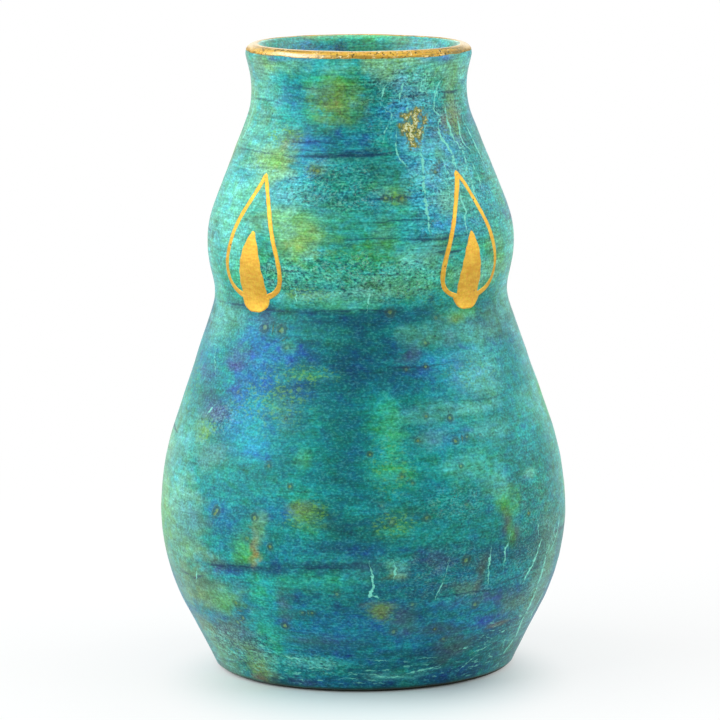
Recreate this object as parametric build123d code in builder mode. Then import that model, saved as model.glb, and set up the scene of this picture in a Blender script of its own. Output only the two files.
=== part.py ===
"""A wheel-thrown earthenware vase, 200 mm tall, with a lustre glaze and fired gilding.

The section is a double gourd: a wide belly, a pinched waist, a smaller bulb and a short
flared neck. Each layer of the real vase is a piece of its own: the fired clay, the glaze
outside, the glaze inside, the gilt lip band, and four pendant drop ornaments, each painted
as an outline with a leaf and bud inside it.

Millimetres, +Z up, with the origin on the ground at the middle of the foot and the front
of the vase facing -Y.
"""

import os
from math import atan2, cos, pi, radians, sin, tan

from build123d import *

# The outline's corners, from the foot to the lip: a radius from the axis, and a rise above
# the corner before it. Every corner but the foot's is rounded.
FOOT_RADIUS = 47.5
BELLY_RADIUS = 70.8
WAIST_RADIUS = 46.1
BULB_RADIUS = 50.6
NECK_RADIUS = 32.9
LIP_RADIUS = 36.6
BELLY_RISE = 48.2
WAIST_RISE = 72.7
BULB_RISE = 18.7
NECK_RISE = 44.5
LIP_RISE = 15.9
BELLY_ROUND = 77.0
WAIST_ROUND = 15.5
BULB_ROUND = 35.6
NECK_ROUND = 27.8

# The wall, with the glaze on both its faces counted in, and the floor of the hollow.
WALL = 5.6
GLAZE = 0.4
FLOOR = 8.0
FLOOR_ROUND = 12.0

# How much of the lip's width its outer and its inner rounding take. The rest is level.
LIP_OUTSIDE_SHARE = 0.63
LIP_INSIDE_SHARE = 0.33

# The most of a straight run that its rounds may take.
ROUND_LIMIT = 0.95

# The turned foot ring. The glaze stops a little above the ground.
FOOT_RING_WIDTH = 6.0
FOOT_RECESS = 2.2
FOOT_ROUND_OUTSIDE = 2.8
FOOT_ROUND_INSIDE = 0.8
BARE_FOOT = 1.2

# The gilding stands this far out of the glaze. The band reaches this far down the lip.
GILDING = 0.15
RIM_BAND_OUTSIDE = 2.2
RIM_BAND_INSIDE = 0.9

# The pendant drops. Their levels are above the corner of the bulb, and their half widths are
# from their own middle. The outline's three corners are given before they are rounded.
DROP_COUNT = 4
FIRST_DROP_ANGLE = -45.0
DROP_TIP = 23.6
DROP_SIDE = -9.7
DROP_BOTTOM = -18.4
DROP_HALF_WIDTH = 16.2
DROP_SIDE_ROUND = 9.3
DROP_TIP_ROUND = 0.8
DROP_LINE = 1.8
LEAF_TIP = 4.8
LEAF_SIDE = -11.2
LEAF_HALF_WIDTH = 5.9
BUD_MIDDLE = -15.4
BUD_HALF_WIDTH = 6.4
BUD_HALF_HEIGHT = 5.2

# ---- The outline and its parallels ----

rises = [BELLY_RISE, WAIST_RISE, BULB_RISE, NECK_RISE, LIP_RISE]
widths = [BELLY_RADIUS, WAIST_RADIUS, BULB_RADIUS, NECK_RADIUS, LIP_RADIUS]
corners = [Vector(FOOT_RADIUS, 0)]
for width, rise in zip(widths, rises):
    corners.append(Vector(width, corners[-1].Y + rise))
height = corners[-1].Y
bulb_level = corners[3].Y
recess_radius = FOOT_RADIUS - FOOT_RING_WIDTH
runs = [(above - below).normalized() for below, above in zip(corners, corners[1:])]
inward = [Vector(-run.Y, run.X) for run in runs]

# The lip's rounds, from its width and the lean of the neck under it.
lean = atan2(runs[-1].X, runs[-1].Y)
lip_width = WALL / cos(lean)
lip_round_outside = LIP_OUTSIDE_SHARE * lip_width * tan((pi / 2 - lean) / 2)
lip_round_inside = LIP_INSIDE_SHARE * lip_width * tan((pi / 2 + lean) / 2)
crest_radius = LIP_RADIUS - lip_width * (1 + LIP_OUTSIDE_SHARE - LIP_INSIDE_SHARE) / 2

# Each corner's round takes a length of the run on either side of it. Where two of them
# need more than their run has, both shrink to fit it.
turns = [tan(radians(below.get_angle(above) / 2)) for below, above in zip(runs, runs[1:])]
taken = [size * turn for size, turn in zip([BELLY_ROUND, WAIST_ROUND, BULB_ROUND, NECK_ROUND], turns)]
rooms = [rise / run.Y for rise, run in zip(rises, runs)]
rooms[0] -= FLOOR / runs[0].Y
rooms[-1] -= LIP_OUTSIDE_SHARE * lip_width
needs = [below + above for below, above in zip([0, *taken], [*taken, 0])]
fits = [min(1, ROUND_LIMIT * room / need) for room, need in zip(rooms, needs)]
taken = [length * min(below, above) for length, below, above in zip(taken, fits, fits[1:])]
rounds = [length / turn for length, turn in zip(taken, turns)]

# The floor's round is limited by the straight wall between the floor and the belly's round.
belly_start = corners[1] - runs[0] * taken[0] + inward[0] * WALL
floor_room = (belly_start.Y - FLOOR) / runs[0].Y
floor_turn = tan((pi / 2 - atan2(runs[0].X, runs[0].Y)) / 2)
floor_round = min(FLOOR_ROUND, ROUND_LIMIT * floor_room / floor_turn)


def at_level(point, run, level):
    """Where the line through point along run reaches a level."""
    return point + run * ((level - point.Y) / run.Y)


def wall_points(inset, bottom, top):
    """The outline's corners moved into the wall by inset, from one level to another."""
    points = [at_level(corners[0] + inward[0] * inset, runs[0], bottom)]
    for corner, below, above in zip(corners[1:-1], inward, inward[1:]):
        points.append(corner + (below + above) * (inset / (1 + below.dot(above))))
    points.append(at_level(corners[-1] + inward[-1] * inset, runs[-1], top))
    return points


def wall_rounds(inset):
    """Each corner's radius on that moved outline, which shrinks where the wall bulges out."""
    moved = []
    for size, below, above in zip(rounds, runs, runs[1:]):
        bulges = below.cross(above).Z > 0
        moved.append(size - inset if bulges else size + inset)
    return moved


def outside(inset, top):
    """The outer surface moved inward by inset: from under the foot, over the lip, to its crest."""
    return FilletPolyline(
        Vector(recess_radius, 0),
        *wall_points(inset, 0, top),
        Vector(crest_radius, top),
        radius=[FOOT_ROUND_OUTSIDE - inset, *wall_rounds(inset), lip_round_outside - inset],
    )


def inside(cover, top):
    """The inner surface under a cover of glaze: from the lip's crest, down to the floor's middle."""
    floor = FLOOR - cover
    return FilletPolyline(
        Vector(crest_radius, top),
        *reversed(wall_points(WALL - cover, floor, top)),
        Vector(0, floor),
        radius=[lip_round_inside - cover, *reversed(wall_rounds(WALL - cover)), floor_round + cover],
    )


def filled(inset, top):
    """The section inside the outer surface moved inward by inset, closed to the axis."""
    with BuildSketch(mode=Mode.PRIVATE) as section:
        with BuildLine():
            edge = outside(inset, top)
            Polyline(edge @ 1, (0, top), (0, 0), edge @ 0)
        make_face()
    return section.sketch


# ---- The fired clay: everything under the glaze, with a turned foot ring ----

with BuildPart() as clay_body:
    with BuildSketch(Plane.XZ) as clay_section:
        with BuildLine():
            shoulder = outside(GLAZE, height - GLAZE)
            hollow = inside(GLAZE, height - GLAZE)
            Polyline(hollow @ 1, (0, FOOT_RECESS), (recess_radius, FOOT_RECESS), shoulder @ 0)
        make_face()
        ring_edge = clay_section.vertices().sort_by_distance((recess_radius, 0, 0))[:1]
        fillet(ring_edge, FOOT_ROUND_INSIDE)
    revolve(axis=Axis.Z)
clay_body.part.label = "clay_body"

# ---- The glaze, outside and inside, meeting along the crest of the lip ----

with BuildPart() as outer_glaze:
    with BuildSketch(Plane.XZ):
        add(filled(0, height))
        add(filled(GLAZE, height - GLAZE), mode=Mode.SUBTRACT)
        with Locations((0, height)):
            Rectangle(crest_radius, GLAZE, align=(Align.MIN, Align.MAX), mode=Mode.SUBTRACT)
        Rectangle(BELLY_RADIUS, BARE_FOOT, align=(Align.MIN, Align.MIN), mode=Mode.SUBTRACT)
    revolve(axis=Axis.Z)
outer_glaze.part.label = "outer_glaze"

with BuildPart() as inner_glaze:
    with BuildSketch(Plane.XZ):
        with BuildLine():
            lining_face = inside(0, height)
            lining_back = inside(GLAZE, height - GLAZE)
            Line(lining_face @ 0, lining_back @ 0)
            Line(lining_face @ 1, lining_back @ 1)
        make_face()
    revolve(axis=Axis.Z)
inner_glaze.part.label = "inner_glaze"

# ---- The gilt band over the lip ----


def lip_line(out):
    """The lip's contour, this far out of the glaze, from the neck over the crest and inside."""
    top = height + out
    outer_start, outer_corner = wall_points(-out, 0, top)[-2:]
    inner_corner = wall_points(WALL + out, 0, top)[-1]
    inner_end = wall_points(WALL + out, 0, top - LIP_RISE / 2)[-1]
    start = (outer_start + outer_corner) / 2
    return FilletPolyline(
        start,
        outer_corner,
        inner_corner,
        inner_end,
        radius=[lip_round_outside + out, lip_round_inside + out],
    )


with BuildPart() as rim_gilding:
    with BuildSketch(Plane.XZ):
        with BuildLine():
            gilt_face = lip_line(GILDING)
            gilt_back = lip_line(0)
            Line(gilt_face @ 0, gilt_back @ 0)
            Line(gilt_face @ 1, gilt_back @ 1)
        make_face()
        with Locations((crest_radius, height - RIM_BAND_OUTSIDE)):
            Rectangle(WALL * 2, LIP_RISE, align=(Align.MIN, Align.MAX), mode=Mode.SUBTRACT)
        with Locations((crest_radius, height - RIM_BAND_INSIDE)):
            Rectangle(WALL * 2, LIP_RISE, align=(Align.MAX, Align.MAX), mode=Mode.SUBTRACT)
    revolve(axis=Axis.Z)
rim_gilding.part.label = "rim_gilding"

# ---- The four pendant drops, cut from a thin shell that lies on the glaze ----

with BuildPart() as gilding_shell:
    with BuildSketch(Plane.XZ):
        add(filled(-GILDING, height + GILDING))
        add(filled(0, height), mode=Mode.SUBTRACT)
    revolve(axis=Axis.Z)


def leaf_and_bud():
    """The pointed leaf that fills the drop, with the round bud that hangs below it."""
    with BuildSketch(mode=Mode.PRIVATE) as leaf:
        with BuildLine():
            TangentArc((LEAF_HALF_WIDTH, LEAF_SIDE), (0, LEAF_TIP), tangent=(0, 1))
            TangentArc((-LEAF_HALF_WIDTH, LEAF_SIDE), (0, LEAF_TIP), tangent=(0, 1))
            Polyline((LEAF_HALF_WIDTH, LEAF_SIDE), (0, BUD_MIDDLE), (-LEAF_HALF_WIDTH, LEAF_SIDE))
        make_face()
        with Locations((0, BUD_MIDDLE)):
            Ellipse(BUD_HALF_WIDTH, BUD_HALF_HEIGHT)
    return leaf.sketch


def drop_outline():
    """The painted line round the drop, open at the bottom where the leaf and bud cross it."""
    with BuildSketch(mode=Mode.PRIVATE) as line:
        with BuildLine():
            Polyline(
                (0, DROP_TIP),
                (DROP_HALF_WIDTH, DROP_SIDE),
                (0, DROP_BOTTOM),
                (-DROP_HALF_WIDTH, DROP_SIDE),
                close=True,
            )
        make_face()
        fillet(line.vertices().sort_by(Axis.Y)[1:3], DROP_SIDE_ROUND)
        fillet(line.vertices().sort_by(Axis.Y)[-1:], DROP_TIP_ROUND)
        offset(amount=-DROP_LINE, kind=Kind.INTERSECTION, mode=Mode.SUBTRACT)
        add(leaf_and_bud(), mode=Mode.SUBTRACT)
    return line.sketch


def drop_plane(angle):
    """An upright plane through the axis at the bulb, facing out at this angle from the front."""
    turn = radians(angle)
    return Plane(
        origin=(0, 0, bulb_level),
        x_dir=(cos(turn), sin(turn), 0),
        z_dir=(sin(turn), -cos(turn), 0),
    )


def gilded(shape, angle):
    """The part of the gilding shell behind a flat shape that faces out at this angle."""
    with BuildPart() as motif:
        with BuildSketch(drop_plane(angle)):
            add(shape)
        extrude(amount=BELLY_RADIUS)
        add(gilding_shell.part, mode=Mode.INTERSECT)
    return motif.part


os.makedirs("parts", exist_ok=True)
outline_shape = drop_outline()
leaf_shape = leaf_and_bud()
for number in range(DROP_COUNT):
    angle = FIRST_DROP_ANGLE + number * 360 / DROP_COUNT
    outline = gilded(outline_shape, angle)
    outline.label = f"drop_outline_{number + 1}"
    export_step(outline, f"parts/{outline.label}.step")
    leaf = gilded(leaf_shape, angle)
    leaf.label = f"drop_leaf_{number + 1}"
    export_step(leaf, f"parts/{leaf.label}.step")

export_step(clay_body.part, "parts/clay_body.step")
export_step(outer_glaze.part, "parts/outer_glaze.step")
export_step(inner_glaze.part, "parts/inner_glaze.step")
export_step(rim_gilding.part, "parts/rim_gilding.step")
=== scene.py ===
"""A thrown ceramic vase with a mottled lustre glaze and fired gilding, on a plain pale floor.

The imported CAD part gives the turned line, the lower edge of the gilt band and where each drop
lies. Its clay body is shown as it is, and the two glazes and the gilding are built again as dense
meshes that lie where their CAD nodes lie, with the relief of a thrown and glazed surface. The
axis is Z and the front faces -Y.

An azimuth is in degrees from the front, positive to the right. A place `along` the line is in
mm, from the foot up the outside, over the crest of the lip and down the inside. The marks on the
glaze are placed by azimuth and by height above the floor in mm.
"""

import math

import bpy
import numpy as np
from mathutils import Matrix, Vector


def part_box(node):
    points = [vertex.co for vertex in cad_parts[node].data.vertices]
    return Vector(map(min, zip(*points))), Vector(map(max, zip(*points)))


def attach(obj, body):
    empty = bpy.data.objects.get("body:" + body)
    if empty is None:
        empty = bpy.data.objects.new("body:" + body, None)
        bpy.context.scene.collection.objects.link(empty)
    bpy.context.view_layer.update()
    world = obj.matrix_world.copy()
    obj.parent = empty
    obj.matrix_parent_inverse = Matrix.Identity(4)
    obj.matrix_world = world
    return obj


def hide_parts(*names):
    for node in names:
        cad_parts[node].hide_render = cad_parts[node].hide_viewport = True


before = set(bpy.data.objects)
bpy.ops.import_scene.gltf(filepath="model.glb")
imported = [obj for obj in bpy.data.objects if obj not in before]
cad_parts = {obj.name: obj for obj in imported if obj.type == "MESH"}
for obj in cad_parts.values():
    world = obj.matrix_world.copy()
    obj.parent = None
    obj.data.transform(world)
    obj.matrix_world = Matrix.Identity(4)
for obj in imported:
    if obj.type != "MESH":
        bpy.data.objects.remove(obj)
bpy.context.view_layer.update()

MM = 0.001
TAU = 2 * math.pi

# ---- The turned line, read from the CAD nodes ----

GLAZE = 0.4  # thickness of the glazes over the clay
HEM = 0.35  # the glaze has run down the rounded foot to this height


def rings(node, outward):
    """The (radius, height) in mm of the rings of vertices on the outer or inner face of a turned node."""
    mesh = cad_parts[node].data
    side = 1 if outward else -1
    found = set()
    for face in mesh.polygons:
        centre, normal = face.center, face.normal
        if side * (centre.x * normal.x + centre.y * normal.y) > 1e-4 * centre.length or normal.z > 0.99:
            for index in face.vertices:
                x, y, z = mesh.vertices[index].co / MM
                found.add((round(math.hypot(x, y), 3), round(z, 3)))
    return np.array(sorted(found, key=lambda ring: (ring[1], -side * ring[0])))


def rounded(points, fine=24, straight=2.5):
    """A smooth line through points on arcs and straights, with `fine` steps to a span. A span more than
    `straight` times as long as the next one is straight."""
    spans = np.diff(points, axis=0)
    lengths = np.linalg.norm(spans, axis=1)
    ways = spans / lengths[:, None]
    tangents = [ways[0]]
    for before, after, first, second in zip(ways, ways[1:], lengths, lengths[1:]):
        mixed = before * second + after * first
        if first > straight * second:
            mixed = before
        elif second > straight * first:
            mixed = after
        tangents.append(mixed / np.linalg.norm(mixed))
    tangents.append(ways[-1])
    step = np.linspace(0, 1, fine, endpoint=False)[:, None]
    line = []
    for k, length in enumerate(lengths):
        line.append(
            points[k] * (2 * step**3 - 3 * step**2 + 1)
            + tangents[k] * length * (step**3 - 2 * step**2 + step)
            + points[k + 1] * (3 * step**2 - 2 * step**3)
            + tangents[k + 1] * length * (step**3 - step**2)
        )
    return np.vstack([*line, points[-1:]])


glazed_rings = rings("outer_glaze", outward=True)
foot_rings = rings("clay_body", outward=True) + (GLAZE, 0)  # where glaze would lie on the foot
foot_rings = foot_rings[(foot_rings[:, 1] > HEM) & (foot_rings[:, 1] < glazed_rings[0, 1] - 0.2)]
outer_line = rounded(np.vstack([foot_rings, glazed_rings]))
inner_line = rounded(rings("inner_glaze", outward=False))[::-1]
floor_line = inner_line[-1] * np.array([[0.75, 1], [0.5, 1], [0.25, 1], [0.01, 1]])  # in to the middle
LINE = np.vstack([outer_line, inner_line[1:], floor_line])
ALONG = np.concatenate([[0], np.cumsum(np.linalg.norm(np.diff(LINE, axis=0), axis=1))])
CREST = ALONG[len(outer_line) - 1]  # how far along the line the top of the lip is
END = ALONG[-1]
WAYS = np.gradient(LINE, ALONG, axis=0)
WAYS /= np.linalg.norm(WAYS, axis=1)[:, None]


def radius_at(along):
    return np.interp(along, ALONG, LINE[:, 0])


def height_at(along):
    return np.interp(along, ALONG, LINE[:, 1])


def outside_along(height):
    """How far along the line a height on the outside is."""
    return np.interp(height, outer_line[:, 1], ALONG[: len(outer_line)])


# ---- Smooth noise that closes on itself round the vase ----

NOISE_GAIN = 1.9  # brings the smoothed noise back to about -1 to 1
TALL_CELL = 500  # a cell of noise longer than the line, for noise that changes only round the vase


def spline(t):
    """The four weights of a cubic B-spline at a share t of a span."""
    return np.stack([(1 - t) ** 3, 3 * t**3 - 6 * t**2 + 4, -3 * t**3 + 3 * t**2 + 3 * t + 1, t**3]) / 6


def noise(seed, around, cell, azimuth, along):
    """About -1 to 1, with `around` cells round the vase and cells of `cell` mm along the line."""
    values = np.random.default_rng(seed).uniform(-1, 1, (int(END / cell) + 8, around)) * NOISE_GAIN
    column = np.mod(azimuth, 360) / 360 * around
    row = np.asarray(along) / cell + 2
    c0, r0 = np.floor(column).astype(int), np.floor(row).astype(int)
    across, up = spline(column - c0), spline(row - r0)
    total = 0
    for i in range(4):
        for j in range(4):
            corner = values[np.clip(r0 + j - 1, 0, len(values) - 1), (c0 + i - 1) % around]
            total = total + across[i] * up[j] * corner
    return total


def waver(seed, around, azimuth):
    """About -1 to 1, the same all the way along the line."""
    return noise(seed, around, TALL_CELL, azimuth, 0 * azimuth)


def smooth(low, high, value):
    """0 at low and 1 at high, eased."""
    t = np.clip((value - low) / (high - low), 0, 1)
    return t * t * (3 - 2 * t)


def bell(value, middle, spread):
    """1 in the middle, and nearly 0 two spreads away."""
    return np.exp(-(((value - middle) / spread) ** 2))


def apart(azimuth, other):
    """The signed difference of two azimuths, the short way round."""
    return (azimuth - other + 180) % 360 - 180


# ---- Marks on the glaze ----

# Craters left by burst bubbles: azimuth, height, radius in mm.
CRATERS = [
    (-45, 58.2, 1.3), (-46, 56.8, 1.0), (-34, 51, 1.35), (-31.5, 57.5, 1.2), (-26.5, 49, 0.9),
    (20.2, 88.6, 1.0), (28.2, 87.6, 1.1), (28.7, 80.6, 1.0), (33, 81.4, 0.9), (38, 81.3, 0.7),
    (30, 61, 1.1), (17.6, 58, 1.1), (29.3, 73, 0.8), (-28.3, 73.8, 1.1), (-21, 68, 0.9), (-24.5, 88, 0.7),
    (-45, 94.6, 1.2), (2, 78, 0.8), (16.6, 81.5, 0.8), (11, 71, 1.0), (5, 62.6, 1.0), (14, 69, 0.8),
    (29.4, 43.6, 1.3), (14, 30.6, 1.0), (34.5, 28.5, 1.2), (8.8, 21.6, 1.1), (22, 21.5, 0.7),
    (26, 17.5, 1.0), (-7.8, 34.6, 1.0), (-25, 23, 1.1), (-41, 29, 1.2), (-18.5, 28, 0.8), (-15.5, 28, 0.8),
    (-39, 114.6, 1.5), (-31, 114.2, 1.6), (11, 120.3, 1.3), (23.5, 110.4, 1.0), (29.5, 117.8, 1.3),
    (15.3, 102.9, 0.9), (22.3, 103.4, 0.8), (-28, 109.2, 1.3), (10.2, 155.7, 1.0), (17, 155, 1.3),
    (-22, 164.3, 1.2), (-19, 163.8, 1.1), (38, 165.3, 1.2), (34.5, 162.6, 1.0), (43.3, 192.8, 1.2),
    (7.8, 57.5, 1.1), (53, 55, 0.8), (-40, 24, 1.0), (-43, 22, 1.1), (5, 27, 1.0),
]

# Thin pale runs where the glaze crawled, as (azimuth, height) points from the top down, then width in mm.
RUNS = [
    ([(29.5, 170), (28.7, 165), (27.4, 158), (26.8, 151), (26.2, 145.5)], 1.1),
    ([(48, 190.5), (45.4, 188), (43.3, 184), (42.2, 181), (45, 179.6), (45.6, 178)], 0.8),
    ([(45.6, 178), (42.6, 176), (42.8, 173), (44.6, 170.6), (46.4, 168.4), (47.6, 166), (45, 164.6)], 1.0),
    ([(51.3, 181.5), (50.9, 178), (50.2, 174), (51.4, 171), (54.6, 168.6), (55.3, 165.6), (54.4, 163),
      (51.4, 160.8)], 0.9),
    ([(60.5, 178), (59.4, 175.5), (57.2, 172.6), (57.6, 170.2), (61, 168)], 0.8),
    ([(66, 176), (67.5, 172), (69.5, 168), (70.4, 163)], 0.7),
    ([(14.4, 181.9), (16.4, 181.2), (16.9, 179.2)], 0.4),
    ([(14.6, 177.6), (12.6, 175.6), (11.4, 173)], 0.4),
    ([(18.4, 175), (17, 170.6), (17.6, 167.8), (20.6, 165)], 0.45),
    ([(24.2, 191.5), (22.8, 188.6), (21.6, 185.6)], 0.6), ([(26.2, 186), (25.6, 181), (25.8, 176)], 0.5),
    ([(34.4, 190.6), (33.4, 187.4), (36.8, 187.2)], 0.5), ([(37, 192), (36.8, 189), (37.4, 187)], 0.5),
    ([(14, 189.4), (12, 187.2), (11.4, 185)], 0.6), ([(40.2, 166), (40.8, 163), (42.6, 160)], 0.7),
    ([(47, 168), (46.2, 165.6), (47.4, 163)], 0.6), ([(31, 172), (32.6, 174.4), (34.2, 176)], 0.6),
    ([(38.2, 160), (39.8, 157.4), (38.6, 155), (40.6, 152.6)], 0.5),
    ([(44.6, 156.6), (44, 153), (45.2, 150), (43, 147.4), (43.6, 144)], 0.8),
    ([(54, 158.6), (53.2, 155), (55, 152)], 0.6), ([(59, 164), (60.6, 160), (60.2, 156)], 0.6),
    ([(-25.2, 126.6), (-25.6, 123)], 0.8), ([(3.4, 127), (2.2, 121.8)], 0.8),
    ([(1.6, 43.8), (2.6, 40), (2.4, 37), (1.6, 34.2), (4.4, 33.2)], 0.9),
    ([(23.8, 43.5), (23.5, 41)], 0.35), ([(22.8, 38.4), (21.6, 35.2), (20.8, 33)], 0.4),
    ([(15.6, 31), (13.6, 30.4)], 0.1), ([(37.4, 45.6), (37.2, 40), (38, 35)], 0.5),
    ([(44.8, 50), (44.2, 47.4), (43.0, 45.0), (43, 40.8)], 0.45),
    ([(59.6, 44.6), (58, 41), (57, 38.6), (53.6, 33.4)], 1.0), ([(57.4, 52), (58, 47.6)], 0.5),
    ([(69, 47), (64.6, 41), (63.6, 33), (63.2, 25), (62.4, 18), (64, 12), (60.4, 7)], 1.1),
    ([(73, 49), (71.5, 45), (68, 41)], 0.8), ([(74, 29), (71.6, 23), (70.4, 19), (73, 15)], 0.9),
    ([(8.2, 44.4), (8.7, 42.6), (8.4, 40.6)], 0.9), ([(-57.4, 86.6), (-55.6, 88.8)], 0.5),
    ([(-63.4, 104.5), (-61.5, 101.5), (-60, 99.6)], 0.5), ([(-57.6, 34), (-56.2, 36.6)], 0.6),
    # dashes by the foot
    ([(15.4, 6.3), (18.6, 6.7), (22, 6.8)], 0.75), ([(23, 7.2), (26, 7.8)], 0.6),
    ([(5, 5.4), (7.6, 5.3)], 0.5), ([(9.6, 5.2), (12, 5.2)], 0.45), ([(33, 12.9), (37.4, 13.1)], 0.55),
    ([(40.6, 10.6), (44, 11.4), (47.6, 12.3)], 0.5), ([(41.4, 9), (39, 7.2), (37.4, 5.8)], 0.5),
    ([(64, 15.4), (63.4, 12.6)], 1.2), ([(-6.8, 5.1), (-4, 5)], 0.35), ([(-16.8, 8.5), (-12.6, 8.2)], 0.4),
    ([(-27.4, 11.4), (-22.8, 11.2)], 0.4), ([(20, 11), (24, 11.2)], 0.25), ([(51, 16), (53.4, 16.6)], 0.4),
    ([(56, 12), (57, 10)], 0.5), ([(2, 11.4), (7, 11.3)], 0.2),
]

# The golden crust of blistered glaze on the neck, as lines of the same kind.
CRUST = [
    ([(22.6, 176.8), (25, 176), (28, 175.8)], 1.9), ([(23.8, 174.2), (26, 173.6), (27.8, 174)], 1.6),
    ([(24.8, 171.8), (26.2, 170.8), (28.2, 171)], 1.0),
    ([(28.8, 176.8), (29.2, 179), (31, 180.8), (33.4, 181)], 1.0), ([(35.6, 179.4), (35, 177.4)], 0.6),
    ([(33, 175.8), (30.4, 174.8), (29.4, 172.8)], 0.8), ([(22.4, 179.6), (25, 179.2), (27.4, 180.6)], 0.7),
    ([(21, 176.6), (21.4, 174.8)], 0.5),
]

# Dark streaks that the brush left round the vase, as lines of the same kind.
STREAKS = [
    ([(-36, 167.6), (-20, 168.1), (-8, 168.4), (0, 168.3), (9, 168.5), (17, 169.2)], 0.45),
    ([(-33, 171.8), (-22, 172.4), (-10, 172.1)], 0.2), ([(18, 185.4), (28, 185.9), (40, 186.2)], 0.4),
    ([(48, 186.4), (58, 186.0), (66, 186.3)], 0.35), ([(18, 142.9), (30, 142.4), (43, 142.9)], 0.42),
    ([(29, 138.4), (36, 138.0), (42, 138.6)], 0.35), ([(4, 155.2), (14, 155.6), (27, 155.1)], 0.3),
    ([(6, 148.4), (18, 148.9), (27, 148.4)], 0.2), ([(-6, 143.2), (6, 143.7), (14, 143.2)], 0.15),
    ([(-76, 183.5), (-60, 184.1), (-46, 183.6)], 0.1), ([(-42, 188.5), (-30, 189.0), (-18, 188.4)], 0.1),
    ([(-75, 167.9), (-60, 168.4), (-44, 168.2)], 0.15),
    ([(-70, 119.8), (-52, 120.5), (-38, 120.0), (-26, 120.3)], 0.2),
    ([(-16, 120.6), (-2, 121.0), (12, 120.6)], 0.3), ([(-31, 133.2), (-20, 132.7)], 0.2),
    ([(-30, 126.8), (-14, 127.3)], 0.15), ([(10, 103.8), (20, 103.2), (30, 103.6)], 0.3),
    ([(-50, 40.4), (-44, 40.8), (-36, 41.6), (-28, 42.0)], 0.3),
    ([(-20, 42.6), (-12, 43.1), (-4, 43.0)], 0.25), ([(18, 32.4), (32, 32.9), (46, 32.4)], 0.25),
    ([(40, 34.0), (52, 35.4), (64, 37.2)], 0.25), ([(34, 92.2), (44, 91.6), (54, 92.4)], 0.1),
    ([(-66, 35.4), (-58, 34.4), (-53, 36.2)], 0.3),
]

# Narrow grooves left by the throwing: azimuth, height, half length in degrees, half width in mm.
GROOVES = [
    (-4, 168.2, 18, 0.9), (32, 142.6, 12, 0.8), (33, 138, 6, 0.8), (14, 155, 13, 0.5), (57, 150.4, 8, 0.5),
    (-36, 41, 16, 1.0), (-10, 43, 12, 0.8), (31, 185.8, 6, 0.9), (27, 32.4, 12, 0.5),
]
GROOVE_DEPTH = 0.06

FAR = 9.0  # what a field of marks holds where none is near
CRATER_REACH = 4.5  # how far the fields reach, in crater radii and in mm
LINE_REACH = 6.0


def to_mm(azimuth, along, at_azimuth, at_height):
    """Offsets in mm, across and up, of points on the outside from one mark."""
    across = np.radians(apart(azimuth, at_azimuth)) * radius_at(along)
    return across, along - outside_along(at_height)


def crater_field(azimuth, along, craters):
    """(across, up, distance) from the nearest crater, in crater radii, on every point."""
    field = np.full((*azimuth.shape, 3), FAR)
    for at_azimuth, at_height, size in craters:
        across, up = to_mm(azimuth, along, at_azimuth, at_height)
        far = np.hypot(across, up) / size
        near = far < np.minimum(field[..., 2], CRATER_REACH)
        field[near] = np.stack([across / size, up / size, far], -1)[near]
    return field


def line_field(azimuth, along, lines):
    """(signed offset, width, distance) in mm from the nearest line, on every point. A line is about a third
    as wide at its ends as in its middle."""
    field = np.full((*azimuth.shape, 3), FAR)
    for points, width in lines:
        count = len(points) - 1
        for k, (start, stop) in enumerate(zip(points, points[1:])):
            across, up = to_mm(azimuth, along, *start)
            low, high = outside_along(start[1]), outside_along(stop[1])
            way = np.array([math.radians(stop[0] - start[0]) * radius_at(low), high - low])
            length = np.linalg.norm(way)
            way /= length
            share = np.clip((across * way[0] + up * way[1]) / length, 0, 1)
            far = np.hypot(across - share * length * way[0], up - share * length * way[1])
            side = np.sign(across * way[1] - up * way[0])
            run = (k + share) / count
            strength = width * np.minimum(1, 0.35 + 3 * np.minimum(run, 1 - run))
            near = far < np.minimum(field[..., 2], LINE_REACH)
            field[near] = np.stack([side * far, strength, far], -1)[near]
    return field


# ---- The shape of the surface ----

# The waver of the hand: depth in mm, seed, cells round the vase, size of a cell along the line in mm.
WAVERS = [
    (0.10, 11, 3, 60),  # a little out of round
    (0.045, 12, 3, 3.1),  # throwing rings
    (0.030, 13, 14, 1.6),
    (0.040, 14, 60, 5),  # glaze that lies unevenly
]
BELLY_FILL, BELLY_HEIGHT, BELLY_SPREAD = 0.55, 36, 20  # the thrown belly is fuller than the CAD, in mm
FLOOR_FADE = 6  # the relief fades within this many mm of the middle of the floor
MOUTH_TILT = 0.009  # slope of the mouth, which falls a little to the right
TILT_FROM, TILT_FULL = 180, 200  # heights between which the tilt sets in


def relief(azimuth, along):
    """How far the glaze stands off the turned line, in mm."""
    outside = along < CREST
    off = sum(depth * noise(seed, around, cell, azimuth, along) for depth, seed, around, cell in WAVERS)
    off += BELLY_FILL * outside * np.exp(-(((along - outside_along(BELLY_HEIGHT)) / BELLY_SPREAD) ** 4))
    for at_azimuth, at_height, reach, width in GROOVES:
        ends = smooth(1, 0.4, np.abs(apart(azimuth, at_azimuth) / reach))
        off = off - GROOVE_DEPTH * outside * bell(along, outside_along(at_height), width) * ends
    return off


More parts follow.
